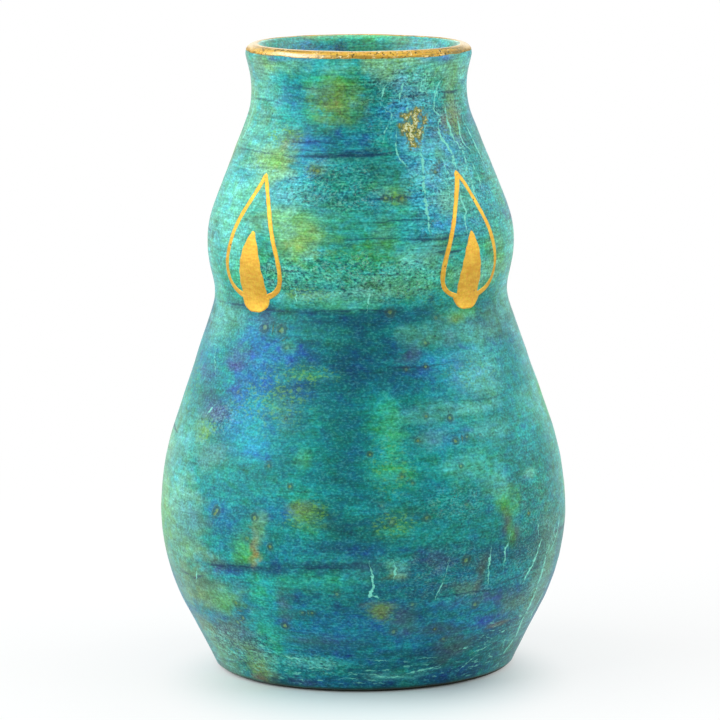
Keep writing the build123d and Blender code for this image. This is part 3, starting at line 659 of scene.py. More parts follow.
def back_washes(seed, count):
    rng = np.random.default_rng(seed)
    share = dict(turquoise=3, jade=3, leaf=3, lime=1.5, cobalt=4, sky=2, violet=1.5, deep=4, navy=2,
                 olive=1.5, sage=1.5, aqua=1, plum=0.8)
    odds = np.array(list(share.values())) / sum(share.values())
    washes = []
    for kind in rng.choice(list(share), count, p=odds):
        flat = kind in ("navy", "deep", "violet", "plum")
        azimuth, height, reach = rng.uniform(84, 276), rng.uniform(3, 198), rng.uniform(5, 16)
        rise = rng.uniform(1, 4) if flat else rng.uniform(3, 9)
        washes.append((str(kind), azimuth, height, reach, rise, rng.uniform(0.3, 0.7)))
    return washes


def back_marks(seed, count, *spans):
    """Marks whose numbers each lie within one of the spans."""
    rng = np.random.default_rng(seed)
    return [tuple(rng.uniform(*span) for span in spans) for _ in range(count)]


def back_ellipses(seed, count):
    return back_marks(seed, count, (80, 280), (20, 195), (6, 20), (4, 12), (0.4, 0.9))


def back_craters(seed, count):
    return back_marks(seed, count, (72, 288), (14, 120), (0.6, 1.3))


def back_runs(seed, count):
    """Pale runs down the neck, and every third one down the lower belly, each in a few short steps."""
    rng = np.random.default_rng(seed)
    runs = []
    for k in range(count):
        azimuth = rng.uniform(76, 290)
        height, step = (rng.uniform(160, 192), 4.2) if k % 3 else (rng.uniform(30, 52), 3.2)
        points = [(azimuth, height)]
        for _ in range(rng.integers(3, 6)):
            azimuth, height = azimuth + rng.normal(0, 1.3), height - step * rng.uniform(0.6, 1.2)
            points.append((azimuth, height))
        runs.append((points, rng.uniform(0.5, 1.0)))
    return runs


def back_streaks(seed, count):
    rng = np.random.default_rng(seed)
    streaks = []
    for _ in range(count):
        azimuth, height, reach = rng.uniform(78, 282), rng.uniform(14, 192), rng.uniform(5, 14)
        middle = (azimuth, height + rng.normal(0, 0.5))
        points = [(azimuth - reach, height), middle, (azimuth + reach, height + rng.normal(0, 0.4))]
        streaks.append((points, rng.uniform(0.1, 0.5)))
    return streaks


# ---- Materials ----


class Tree:
    """The shader nodes of a material or of the world, built by short calls, most of which return an
    output socket. `colour` is what has been laid on so far."""

    def __init__(self, owner):
        owner.use_nodes = True
        self.owner = owner
        self.nodes, self.links = owner.node_tree.nodes, owner.node_tree.links
        self.nodes.clear()
        self.point = self.make("ShaderNodeTexCoord").outputs["Object"]
        self.colour = None

    def make(self, kind, *values, **settings):
        """A node with its settings, and with its first inputs fed."""
        node = self.nodes.new(kind)
        for key, value in settings.items():
            setattr(node, key, value)
        for socket, value in zip(node.inputs, values):
            self.feed(socket, value)
        return node

    def feed(self, socket, value):
        """Links a socket to an output, or sets its constant."""
        if isinstance(value, bpy.types.NodeSocket):
            self.links.new(value, socket)
        elif socket.type == "RGBA" and hasattr(value, "__len__"):
            socket.default_value = (*value, 1)
        else:
            socket.default_value = value

    def math(self, operation, *values):
        return self.make("ShaderNodeMath", *values, operation=operation).outputs[0]

    def vector(self, operation, *values):
        return self.make("ShaderNodeVectorMath", *values, operation=operation).outputs

    def times(self, *values):
        """The product of sockets and numbers."""
        product = values[0]
        for value in values[1:]:
            product = self.math("MULTIPLY", product, value)
        return product

    def hypotenuse(self, x, y):
        return self.math("SQRT", self.math("ADD", self.times(x, x), self.times(y, y)))

    def weighted(self, *terms):
        """The sum of sockets, each times its weight."""
        total = self.math("MULTIPLY", *terms[0])
        for value, weight in terms[1:]:
            total = self.math("MULTIPLY_ADD", value, weight, total)
        return total

    def ramp(self, value, low, high, to_low=0.0, to_high=1.0):
        """value from low to high, eased, as to_low to to_high."""
        values = (value, low, high, to_low, to_high)
        return self.make("ShaderNodeMapRange", *values, interpolation_type="SMOOTHSTEP").outputs["Result"]

    def around(self, noise, centre, span):
        """centre plus span times how far a noise is from its middle."""
        return self.math("MULTIPLY_ADD", self.math("SUBTRACT", noise, 0.5), span, centre)

    def mix(self, amount, first, second):
        node = self.make("ShaderNodeMix", amount, data_type="RGBA")
        self.feed(node.inputs[6], first)
        self.feed(node.inputs[7], second)
        return node.outputs[2]

    def lay(self, colour, *masks):
        """Lays a colour over what is there, as strongly as the product of the masks."""
        self.colour = self.mix(self.times(*masks), self.colour, colour)

    def tuned(self, hue, saturation, value):
        """The colour so far with its hue turned and its saturation and value multiplied."""
        node = self.make("ShaderNodeHueSaturation", hue, saturation, value)
        self.feed(node.inputs["Color"], self.colour)
        return node.outputs[0]

    def split(self, vector):
        return self.make("ShaderNodeSeparateXYZ", vector).outputs

    def attribute(self, name, out="Color"):
        return self.make("ShaderNodeAttribute", attribute_name=name).outputs[out]

    def field(self, name):
        """The three parts of a vector kept on the mesh."""
        return self.split(self.attribute(name, "Vector"))

    def noise(self, scale, detail=2.0, roughness=0.5, distortion=0.0, flat=1.0, shift=(0, 0, 0)):
        """Noise about 0.5, drawn out round the vase where `flat` is over 1."""
        point = self.vector("MULTIPLY_ADD", self.point, (1, 1, flat), shift)[0]
        node = self.make("ShaderNodeTexNoise", point)
        settings = {"Scale": scale, "Detail": detail, "Roughness": roughness, "Distortion": distortion}
        for key, value in settings.items():
            self.feed(node.inputs[key], value)
        return node.outputs["Fac"]

    def spots(self, scale, rare, edge, core, channel=0):
        """1 in the middle of a few cells of a pattern: those whose random number is over `rare`."""
        cells = self.make("ShaderNodeTexVoronoi", self.point)
        self.feed(cells.inputs["Scale"], scale)
        chosen = self.ramp(self.split(cells.outputs["Color"])[channel], rare[0], rare[1])
        return self.times(self.ramp(cells.outputs["Distance"], edge, core), chosen)

    def show(self, shader, output="ShaderNodeOutputMaterial"):
        """Ends the tree with a shader, and returns what it is the tree of."""
        self.links.new(shader.outputs[0], self.make(output).inputs["Surface"])
        return self.owner

    def finish(self, roughness, height, relief, **constants):
        """Ends a material with its colour and roughness, a bump `relief` metres deep, and constants."""
        shader = self.make("ShaderNodeBsdfPrincipled")
        bump = self.make("ShaderNodeBump")
        inputs = {"Base Color": self.colour, "Roughness": roughness, "Normal": bump.outputs[0]}
        inputs |= {key.replace("_", " "): value for key, value in constants.items()}
        for key, value in inputs.items():
            self.feed(shader.inputs[key], value)
        for key, value in {"Strength": 1.0, "Distance": relief, "Height": height}.items():
            self.feed(bump.inputs[key], value)
        return self.show(shader)


def paint(name, brightness=1.0):
    return PALETTE[name] * brightness


class Glaze(Tree):
    """The tree of a glaze, with the noises and amounts that its marks share."""

    def __init__(self, name):
        super().__init__(bpy.data.materials.new(name))
        self.mottle = self.noise(190, 3, 0.55, 0.5, flat=1.5)
        self.patch = self.noise(420, 3, 0.6, 0.3, flat=1.5, shift=(3.1, 1.7, 0.4))
        self.grain = self.noise(1500, 2, 0.6)
        self.lines = self.noise(110, 3, 0.6, flat=16)
        self.ticks = self.noise(1150, 1, flat=1.5)
        # strokes drawn round the vase, long on the neck and short and soft on the belly
        self.long_strokes = self.noise(230, 5, 0.70, 0.2, flat=5)
        self.short_strokes = self.noise(400, 4, 0.68, 0.3, flat=1.7)
        self.height = self.split(self.point)[2]
        self.fleck_amount, self.crackle_amount, self.scrape_amount = self.field("marks")

    def on_neck(self, belly, neck):
        """One number on the belly and another on the neck."""
        return self.ramp(self.height, 0.110, 0.150, belly, neck)


def lay_lustre(t):
    bands = t.noise(48, 3, 0.6, 0.2, flat=8)
    long_share = t.ramp(t.height, 0.128, 0.150, 0.15, 0.75)
    stroke = t.mix(long_share, t.short_strokes, t.long_strokes)
    coat = t.ramp(stroke, 0.40, 0.60, t.on_neck(0.36, 0.22), t.on_neck(0.76, 0.88))
    t.colour = t.mix(coat, t.attribute("under"), t.attribute("tint"))
    hue = t.around(t.patch, t.around(t.mottle, 0.5, 0.20), 0.12)
    value = t.around(t.lines, 1.0, t.on_neck(0.9, 1.5))
    for texture, span in ((bands, 0.9), (t.mottle, 0.5), (t.patch, 0.7), (t.grain, 0.9)):
        value = t.around(texture, value, span)
    t.colour = t.tuned(hue, 1.0, value)


def lay_ticks(t):
    bite = t.math("MULTIPLY_ADD", t.crackle_amount, 0.55, 0.45)
    pale = t.mix(0.25, t.tuned(0.49, 0.92, 1.9), paint("aqua"))
    dark = t.mix(0.4, t.tuned(0.51, 1.0, 0.4), paint("navy", 0.7))
    t.lay(pale, t.ramp(t.ticks, 0.54, 0.66, 0, 0.7), bite)
    t.lay(dark, t.ramp(t.ticks, 0.46, 0.34, 0, 0.85), bite)


def line_mask(t, name, jitter, thickness, edge, reach):
    """1 along the lines of a field, moved sideways by `jitter` and `thickness` times as wide."""
    offset, width, near = t.field(name)
    away = t.math("ABSOLUTE", t.math("ADD", offset, jitter))
    past = t.math("SUBTRACT", away, t.times(width, thickness))
    return t.times(t.ramp(past, *edge), t.ramp(near, *reach))


def lay_streaks(t):
    streak = line_mask(t, "streaks", t.around(t.short_strokes, 0, 1.8), 1.0, (0.4, -0.3), (3.0, 1.8))
    t.lay(paint("navy", 0.8), streak, t.ramp(t.long_strokes, 0.35, 0.55, 0.3, 0.8))


def lay_flecks(t):
    fleck = t.ramp(t.noise(700, 3, 0.7, flat=1.6), 0.53, 0.61)
    t.lay(t.mix(t.grain, paint("leaf"), paint("lime")), fleck, t.fleck_amount, 0.7)


def lay_crackle(t):
    """Pale, in broken curling lines, with dark dots between them."""
    curl = t.math("ABSOLUTE", t.math("SUBTRACT", t.noise(430, 2, 0.5, 1.2, flat=1.4), 0.5))
    broken = t.ramp(t.noise(330, 3), 0.40, 0.58)
    net = t.times(t.ramp(curl, 0.030, 0.004), broken, t.crackle_amount)
    t.lay(paint("pale", 0.85), net, 0.6)
    dots = t.spots(620, (0.55, 0.60), 0.38, 0.22, channel=1)
    t.lay(paint("navy", 0.8), dots, t.crackle_amount, 0.6)
    return net


def lay_scrapes(t):
    """Pale streaks scraped by the foot, with dark ones between them."""
    scraped = t.noise(230, 3, 0.6, 0.15, flat=5)
    pale = t.ramp(t.math("MULTIPLY_ADD", t.scrape_amount, 0.05, scraped), 0.61, 0.65)
    nearby = t.ramp(t.scrape_amount, 0.1, 0.5)
    ticked, broken = t.ramp(t.ticks, 0.40, 0.52, 0.4, 1.0), t.ramp(t.mottle, 0.40, 0.52, 0.2, 1.0)
    t.lay(paint("aqua", 0.95), pale, nearby, ticked, broken)
    t.lay(paint("navy", 0.7), t.ramp(scraped, 0.47, 0.38), t.scrape_amount, 0.8)


def lay_hem(t):
    """Dark where the glaze meets the floor: the glaze's dark lower edge, with a painted contact shadow."""
    # partly the dark edge of the glaze, partly painted contact shadow
    t.lay(paint("hem_contact_shade"), t.ramp(t.height, 0.0020, 0.0009), 0.85)


def lay_pinholes(t):
    holes = t.spots(260, (0.90, 0.92), 0.12, 0.05)
    t.lay(paint("navy", 0.4), holes, 0.6)
    return holes


def lay_runs(t):
    jitter, thickness = t.around(t.noise(420, 4, 0.7), 0, 2.2), t.around(t.noise(600, 2), 0.31, 2.2)
    run = line_mask(t, "runs", jitter, thickness, (0.18, -0.12), (2.2, 1.4))
    t.lay(paint("aqua", 1.18), run, t.ramp(t.ticks, 0.35, 0.55, 0.7, 1.0))
    return run


def lay_crust(t):
    """Ragged crumbs with brown edges, green and gold sides and cream tops, in a patch of olive."""
    _, width, near = t.field("crust")
    crumb = t.around(t.noise(640, 4, 0.7, 0.6), 0.25, 6.0)
    past = t.math("SUBTRACT", t.math("ADD", near, crumb), width)
    past = t.mix(t.ramp(near, 2.0, 2.6), past, (FAR, FAR, FAR))
    edge, side = t.ramp(past, 0.75, 0.35), t.ramp(past, 0.35, 0.10)
    stain = t.math("ADD", past, t.around(t.patch, 0, 3.0))
    t.lay(paint("olive"), t.ramp(stain, 1.7, 0.2, 0, 0.6))
    t.lay(paint("brown"), edge, 0.4)
    side_colour = t.mix(t.ramp(t.grain, 0.40, 0.60), paint("crust_green"), paint("crust_gold"))
    t.lay(side_colour, side, 0.85)
    t.lay(paint("crust_cream"), t.ramp(past, 0.15, -0.45), t.ramp(t.ticks, 0.44, 0.56), 0.9)
    return side


def lay_craters(t):
    """Each a dark ring with an olive floor, some clearer than others. Returns the rings and the floors."""
    across, up, near = t.field("craters")
    out = t.math("ADD", t.hypotenuse(across, up), t.around(t.noise(900, 2), 0, 0.9))
    close = t.ramp(near, 3.4, 2.6)
    ring = t.times(t.ramp(out, 1.35, 1.0), t.ramp(out, 0.35, 0.7), close)
    pool = t.times(t.ramp(out, 0.70, 0.30), close)
    halo = t.times(t.ramp(out, 1.9, 1.0), close)
    clear = t.ramp(t.noise(90, 1), 0.35, 0.65, 0.35, 1.0)
    t.lay(paint("olive", 0.8), halo, clear, 0.22)
    pool_colour = t.mix(t.ramp(t.patch, 0.4, 0.6), paint("olive"), paint("sage"))
    t.lay(pool_colour, pool, clear, 0.75)
    t.lay(paint("deep", 0.5), ring, clear, 0.5)
    return ring, pool


def glaze_material(name, **gloss):
    t = Glaze(name)
    lay_lustre(t)
    lay_ticks(t)
    lay_streaks(t)
    lay_flecks(t)
    net = lay_crackle(t)
    lay_scrapes(t)
    lay_hem(t)
    holes = lay_pinholes(t)
    run = lay_runs(t)
    crust = lay_crust(t)
    ring, pool = lay_craters(t)
    height = t.weighted((t.grain, 0.5), (t.lines, 0.6), (t.patch, 0.5), (run, 0.5), (crust, 1.2),
                        (ring, 0.8), (pool, -1.0), (net, 0.25), (holes, -0.8))
    roughness = t.around(t.patch, t.around(t.grain, 0.40, 0.12), 0.16)
    roughness = t.mix(crust, t.mix(run, roughness, (0.36,) * 3), (0.55,) * 3)
    return t.finish(roughness, height, 0.00009, **gloss)


def gilding_material():
    """Fired gold brushed on by hand: satin, a little uneven in depth, with grain and pinholes to the glaze.
    On the rim it shows wear, brown brush lines and gaps that show the glaze, and it carries painted
    highlights, pale and less metallic, along the crest at the front, at the sides and low on the front
    left."""
    t = Tree(bpy.data.materials.new("gilding"))
    grain = t.noise(1700, 2, 0.6)
    brushed = t.noise(300, 4, 0.65, 0.2, flat=3.5)
    t.colour = t.mix(t.ramp(brushed, 0.34, 0.66), paint("gold"), paint("gold_light"))
    t.lay(paint("gold_deep"), t.ramp(t.noise(120, 3, 0.6), 0.45, 0.65, 0, 0.35))
    t.colour = t.tuned(t.around(t.noise(1100, 1), 0.5, 0.06), 1.0, t.around(grain, 1.0, 0.45))
    gap, brown, pale = t.field("worn")
    rim = t.ramp(brown, 0.05, 0.2)
    t.lay(paint("gold_brown"), brown, t.ramp(brushed, 0.35, 0.6, 0.4, 0.9))
    t.lay(paint("gold_dark"), rim, t.ramp(t.noise(1150, 2, 0.6, 0.5), 0.54, 0.64), 0.85)
    # pale streaks along the rim: painted glints
    t.lay(paint("gold_glint"), rim, t.ramp(t.noise(640, 3, 0.7, 0.8, flat=2.5), 0.55, 0.68), 0.6)
    # painted highlight: pale gold where the rim would reflect white
    t.lay(paint("gold_highlight"), pale, t.ramp(grain, 0.35, 0.6, 0.6, 1.0))
    t.lay(paint("gold_gone"), gap)
    holes = t.spots(420, (0.86, 0.88), 0.17, 0.08)
    t.lay(paint("gold_pit"), holes, 0.8)
    roughness = t.around(brushed, t.around(grain, 0.54, 0.15), 0.15)
    height = t.weighted((brushed, 0.8), (grain, 0.5), (holes, -0.8))
    metal = t.times(t.ramp(holes, 0.0, 1.0, 1.0, 0.4), t.ramp(t.math("ADD", gap, pale), 0.0, 1.0, 1.0, 0.3))
    return t.finish(roughness, height, 0.00006, Metallic=metal)


def clay_material():
    """Bare fired clay under the foot: buff, sandy and turned, and darkened out where the glaze begins by a
    painted contact shadow.
    """
    t = Tree(bpy.data.materials.new("fired_clay"))
    x, y, _ = t.split(t.point)
    out = t.hypotenuse(x, y)
    turning = t.math("SINE", t.times(t.math("ADD", out, t.around(t.noise(40, 2), 0, 0.002)), 5200))
    sand = t.noise(1300, 3, 0.7)
    t.colour = t.mix(t.noise(60, 4, 0.6), paint("clay"), paint("clay_light"))
    t.colour = t.tuned(0.5, 1.0, t.around(sand, t.math("MULTIPLY_ADD", turning, 0.04, 1.0), 0.8))
    t.lay(paint("clay_speck"), t.spots(500, (0.78, 0.82), 0.28, 0.15), 0.6)
    beyond = t.math("ADD", out, t.around(t.noise(220, 3), 0, 0.0012))
    # painted contact shadow on the outer edge of the foot, where it meets the floor
    t.lay(paint("clay_shade"), t.ramp(beyond, 0.0445, 0.0458, 0, 0.95))
    height = t.weighted((sand, 1.0), (turning, 0.25))
    return t.finish(t.around(sand, 0.85, 0.2), height, 0.00012, Specular_IOR_Level=0.25)


glaze = glaze_material("lustre_glaze", Specular_IOR_Level=0.16, Sheen_Weight=0.08, Sheen_Roughness=0.4)
lining = glaze_material("lining_glaze", Specular_IOR_Level=0.3, Coat_Weight=0.35, Coat_Roughness=0.1)
gilding = gilding_material()
clay = clay_material()

# ---- The glazes ----

COLUMNS = 376


def shell(first, last, rows, back_rows, wave, start_pace=1.0):
    """Azimuths, places along the line, lifts and UVs of a thin closed skin: the shown side, then its back,
    whose fewer rows stand closer where the line bends more. `wave` moves the first edge along, by azimuth.
    The rows of the shown side start at `start_pace` times their mean distance."""
    shown = np.linspace(0, 1, rows)[:, None]
    shown = shown * (start_pace + (1 - start_pace) * shown)
    bend = np.sqrt(np.abs(np.gradient(WAYS[:, 0], ALONG)) + np.abs(np.gradient(WAYS[:, 1], ALONG))) + 0.06
    bent = np.concatenate([[0], np.cumsum((bend[1:] + bend[:-1]) / 2 * np.diff(ALONG))])
    ends = np.interp([first, last], ALONG, bent)
    hidden = np.interp(np.linspace(ends[1], ends[0], back_rows), bent, ALONG)[:, None]
    fade = smooth(first + 6, first, hidden) * wave
    along = np.vstack([first + wave + (last - first - wave) * shown, hidden + fade])
    lift = np.vstack([np.zeros((rows, COLUMNS)), np.full((back_rows, COLUMNS), -GLAZE)])
    azimuth = np.broadcast_to(np.arange(COLUMNS) * 360 / COLUMNS, along.shape)
    u = np.linspace(0, 1, COLUMNS + 1)[None, :]
    v = np.concatenate([np.linspace(0.01, 0.93, rows), np.linspace(0.94, 0.99, back_rows + 1)])[:, None]
    return azimuth, along, lift, (u, v)


def outer_skin():
    """The glaze outside, from its wavering lower edge up to the crest of the lip."""
    turn = np.arange(COLUMNS) * 360 / COLUMNS
    wave = np.maximum(0.2 + 0.2 * waver(31, 26, turn) + 0.12 * waver(32, 90, turn), 0)
    azimuth, along, lift, uv = shell(0, CREST, rows=222, back_rows=42, wave=wave)
    craters = crater_field(azimuth, along, CRATERS + back_craters(seed=41, count=46))
    runs = line_field(azimuth, along, RUNS + back_runs(seed=42, count=34))
    crust = line_field(azimuth, along, CRUST)
    streaks = line_field(azimuth, along, STREAKS + back_streaks(seed=46, count=26))
    pit = craters[..., 2]
    carved = 0.10 * bell(pit, 1.0, 0.45) - 0.16 * bell(pit, 0, 0.6)
    _, width, near = np.moveaxis(runs, -1, 0)
    carved += 0.07 * smooth(1.2, 0.2, near / np.maximum(width, 0.1)) * smooth(0, 0.3, width)
    carved += 0.35 * smooth(1.6, 0.3, crust[..., 2])
    thinned = 0.25 * (1 - smooth(0.0, 0.6, along - along[0]))  # the glaze thins to its lower edge
    points = surface(azimuth, along, lift, (carved - thinned) * (lift == 0))
    washes = BANDS + FRONT + back_washes(seed=43, count=120)
    tint, under = coats(azimuth, along, washes, seed=51)
    flecks = FLECKS + back_ellipses(seed=44, count=14)
    crackle = CRACKLE + back_ellipses(seed=45, count=12)
    marks = amounts(azimuth, along, flecks, crackle, SCRAPES)
    piece = grid_mesh("glaze_outside", points, around=True, closed=True, uv=uv, tint=tint, under=under,
                      marks=marks, craters=craters, runs=runs, crust=crust, streaks=streaks)
    place(piece, glaze, "outer_glaze")


def lining_washes():
    """The washes on the lining, with more by chance deeper down. Each gets the height on the outside that
    is as far along the line as its depth, as cover() expects."""
    rng = np.random.default_rng(47)
    kinds = ["cobalt", "turquoise", "jade", "leaf", "navy", "deep", "sky", "violet", "green"]
    spans = [(0, 360), (8, 200), (14, 40), (4, 14), (0.3, 0.6)]
    deeper = [(str(rng.choice(kinds)), *[rng.uniform(*span) for span in spans]) for _ in range(70)]
    return [
        (name, azimuth, float(height_at(min(depth, CREST))), *rest)
        for name, azimuth, depth, *rest in INSIDE + deeper
    ]


def lining_skin():
    """The lining, from the crest of the lip down to the middle of the floor."""
    azimuth, along, lift, uv = shell(CREST, END, 196, 36, np.zeros(COLUMNS), start_pace=0.4)
    depth = along - CREST
    tint, under = coats(azimuth, depth, lining_washes(), seed=71)
    lip = smooth(1.6, 0.8, depth) * smooth(135, 100, np.abs(apart(azimuth, 0)))  # painted highlight along the front of the lip, where the glossy crest would reflect white
    for coat in (tint, under):
        coat[..., :3] *= LINING_COAT
        coat[..., :3] += (PALETTE["pale"] * LINING_COAT - coat[..., :3]) * lip[..., None]
    marks = np.zeros((*azimuth.shape, 3)) + (0.35, 0.35, 0)
    none = np.full((*azimuth.shape, 3), FAR)
    points = surface(azimuth, along, lift)
    piece = grid_mesh("glaze_inside", points, around=True, closed=True, uv=uv, tint=tint, under=under,
                      marks=marks, craters=none, runs=none, crust=none, streaks=none)
    place(piece, lining, "inner_glaze")


# ---- The gilding ----

TUCK = 0.06  # how deep the edges of the gold lie under the surface of the glaze


def rim_wear(azimuth, along, start):
    """The marks on the rim: gaps that show the glaze, brown brush lines, and a pale painted highlight along
    the crest at the front, over the ends of the band at the sides and low on the front left.
    """
    front = np.abs(apart(azimuth, 0))
    crest, edge = along - CREST, along - start
    wander = 0.15 * waver(37, 14, azimuth)
    gap = smooth(0.22, 0.08, np.abs(crest + 0.75 + wander)) * smooth(0.45, 0.75, waver(38, 24, azimuth))
    thin = smooth(30, 60, apart(azimuth, 0)) * smooth(80, 64, front)
    gap = np.maximum(gap, thin * (0.1 + 0.35 * smooth(0.0, 0.7, noise(40, 40, 0.5, azimuth, along))))
    brown = 0.25 + smooth(0.0, 0.8, noise(39, 12, 0.42, azimuth, along)) + 0.6 * smooth(0.45, 0.2, edge)
    # painted highlights: along the crest on the front, at the sides, and low on the front left
    over_crest = 0.85 * smooth(0.75, 0.45, np.abs(crest + 0.1 + 0.5 * wander)) * smooth(128, 96, front)
    at_sides = 0.9 * bell(front, 88, 20) * smooth(-3.4, -1.6, crest + 0.5 * wander)
    shine = 0.8 * bell(apart(azimuth, -35), 0, 13)
    shine = shine * smooth(0.25, 0.5, edge) * smooth(1.7, 1.2, edge + wander)
    pale = np.maximum(np.maximum(over_crest, at_sides), shine)
    return np.stack([gap, np.clip(brown, 0, 1), np.clip(pale, 0, 1)], -1)


def rim_band():
    """The gilt band over the lip: proud of the glaze by a brush stroke, with edges that waver."""
    columns, rows = 640, 26
    turn = np.arange(columns) * 360 / columns
    start = outside_along(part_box("rim_gilding")[0].z / MM) + 0.2
    start = start + 0.22 * waver(33, 40, turn) + 0.12 * waver(34, 130, turn)
    stop = CREST + 0.8 + 0.20 * waver(35, 34, turn) + 0.10 * waver(36, 120, turn)
    share = np.linspace(0, 1, rows)[:, None]
    along = start + (stop - start) * share
    azimuth = np.broadcast_to(turn, along.shape)
    inward = np.minimum(along - start, stop - along)
    points = surface(azimuth, along, 0.17 * smooth(0, 0.45, inward) - TUCK)
    uv = (np.linspace(0, 1, columns + 1)[None, :], share)
    piece = grid_mesh("gilt_rim", points, around=True, uv=uv, worn=rim_wear(azimuth, along, start))
    place(piece, gilding, "rim_gilding")


# Half of a drop's loop, and half of its leaf, as (share of the height, share of the half width), from the
# bottom up.
LOOP = [
    (0.0, 0.0), (0.010, 0.28), (0.028, 0.50), (0.058, 0.72), (0.105, 0.89), (0.17, 0.98), (0.25, 1.0),
    (0.33, 0.965), (0.495, 0.79), (0.65, 0.57), (0.80, 0.335), (1.0, 0.0),
]
LEAF = [
    (0.0, 0.95), (0.12, 1.0), (0.27, 1.0), (0.43, 0.91), (0.66, 0.72), (0.82, 0.49), (0.92, 0.29),
    (1.0, 0.12),
]

STROKE = 1.86  # width of the loop's line
LOOP_BELOW = 1.7  # the painted loop closes this far below its CAD node, under the bud
LEAF_BELOW, LEAF_ABOVE = 0.35, 0.1  # the gold of a leaf thins to nothing this far past its CAD node
BUD_RISE = 4.2  # from the bottom of the bud to where the leaf begins
BUD_MIDDLE = 0.6  # how far above that the bud is widest


def drop_reach(node, azimuth):
    """The lowest and highest height and the farthest sideways reach in mm of a gilt CAD node."""
    turn = math.radians(azimuth)
    spots = [vertex.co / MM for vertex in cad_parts[node].data.vertices]
    sideways = [spot.x * math.cos(turn) + spot.y * math.sin(turn) for spot in spots]
    heights = [spot.z for spot in spots]
    return min(heights), max(heights), max(map(abs, sideways))


def on_vase(azimuth, sideways, height, lift):
    """Points at a sideways distance and a height, in mm, as seen square on to the vase at an azimuth."""
    along = outside_along(height)
    turn = azimuth + np.degrees(np.arcsin(np.clip(sideways / radius_at(along), -1, 1)))
    return surface(turn, along, lift)


def eased(points, steps):
    """A smooth curve through points, in even steps along its length."""
    fine = rounded(np.array(points, float), fine=12, straight=99)
    length = np.concatenate([[0], np.cumsum(np.linalg.norm(np.diff(fine, axis=0), axis=1))])
    places = np.linspace(0, 1, steps) * length[-1]
    return np.stack([np.interp(places, length, fine[:, k]) for k in range(2)], -1)


def gilt_loop(number, azimuth, shift, slant, swell):
    """A drop's painted outline, up its right side and down its left. shift > 0 moves it to the right,
    slant > 0 tips its top there and swell > 0 draws its right side heavier, all in mm."""
    rng = np.random.default_rng(80 + number)
    node = f"drop_outline_{number}"
    low, high, reach = drop_reach(node, azimuth)
    low, high, reach = low - LOOP_BELOW, high - STROKE * 0.35, reach - STROKE * 0.65 - 0.3
    half = eased([(w * reach, low + h * (high - low)) for h, w in LOOP], 150)
    path = np.vstack([half, (half * (-1, 1))[::-1][1:]])
    way = np.linspace(0, 1, len(path))

    def tremble(size, waves):
        return sum(rng.normal(0, size) * np.sin(TAU * (k * way + rng.uniform())) for k in waves)

    tipped = slant * np.clip((path[:, 1] - low - 6) / (high - low - 6), 0, 1)
    sway = np.stack([tremble(0.05, (1, 2, 5)) + shift + tipped, tremble(0.07, (1, 2, 4))], -1)
    path = path + sway * (1 - 0.5 * bell(way, 0.5, 0.02))[:, None]
    ways = np.gradient(path, axis=0)
    ways /= np.linalg.norm(ways, axis=1)[:, None]
    sides = np.stack([ways[:, 1], -ways[:, 0]], -1)
    wide = 0.5 * STROKE + swell * np.sin(TAU * way - 0.6) + tremble(0.045, (4, 7, 11, 23))
    across = np.linspace(-1, 1, 11)
    points = path[:, None] + sides[:, None] * across[:, None] * wide[:, None, None]
    inward = 1 - np.abs(across)
    lift = 0.17 * smooth(0, 0.35, inward) - 0.02 * smooth(0.3, 1, inward) - TUCK  # fullest inside its edges
    spots = on_vase(azimuth, points[..., 0], points[..., 1], lift)
    uv = (np.linspace(0, 1, 11)[None, :], way[:, None])
    place(grid_mesh(f"gilt_loop_{number}", spots[:, ::-1], uv=uv), gilding, node)


def gilt_leaf(number, azimuth, lean, bow, leaf_reach, bud_reach, trim):
    """A drop's leaf with the bud below it, row by row up the vase. lean > 0 tips the leaf to the right and
    bow > 0 bends its middle there. The reaches are half widths, and trim shortens the leaf and the bud."""
    node = f"drop_leaf_{number}"
    low, high, _ = drop_reach(node, azimuth)
    low, high = low - LEAF_BELOW + max(trim, 0), high + LEAF_ABOVE - trim
    base = low + BUD_RISE
    middle = base + BUD_MIDDLE
    share = np.linspace(0, 1, 120)
    rows = low + (high - low) * (0.5 - 0.5 * np.cos(np.pi * share))
    rise = (rows - base) / (high - base)
    leaf = np.interp(rise, *eased(LEAF, 200).T) * leaf_reach * (rise >= 0)
    leaf *= np.sqrt(np.clip((high - rows) / 0.6, 0, 1))  # a blunt tip
    bud = bud_reach * np.sqrt(np.clip(1 - ((rows - middle) / (middle - low)) ** 2, 0, 1))
    bud *= np.where(rows > middle, smooth(base + 1.7, middle, rows), 1)
    bend = (lean * rise**2 + 4 * bow * rise * (1 - rise)) * (rise > 0)
    unsteady = 0.12 * (rows < high - 1) * (rows > low + 0.5)
    left = np.minimum(-leaf + bend, -bud) + unsteady * np.sin(rows * 1.7 + number)
    right = np.maximum(leaf + bend, bud) + unsteady * np.sin(rows * 1.3 + 2 * number)
    across = np.linspace(-1, 1, 31)
    half_width = np.maximum((right - left) / 2, 0.02)[:, None]
    sideways = ((left + right) / 2)[:, None] + half_width * across
    from_ends = np.minimum(rows - low, high - rows)[:, None] + 0.02
    inward = np.minimum((1 - np.abs(across)) * half_width, from_ends)
    spots = on_vase(azimuth, sideways, rows[:, None], 0.20 * smooth(0, 0.7, inward) - TUCK)
    uv = (np.linspace(0, 1, 31)[None, :], share[:, None])
    place(grid_mesh(f"gilt_leaf_{number}", spots, uv=uv), gilding, node)


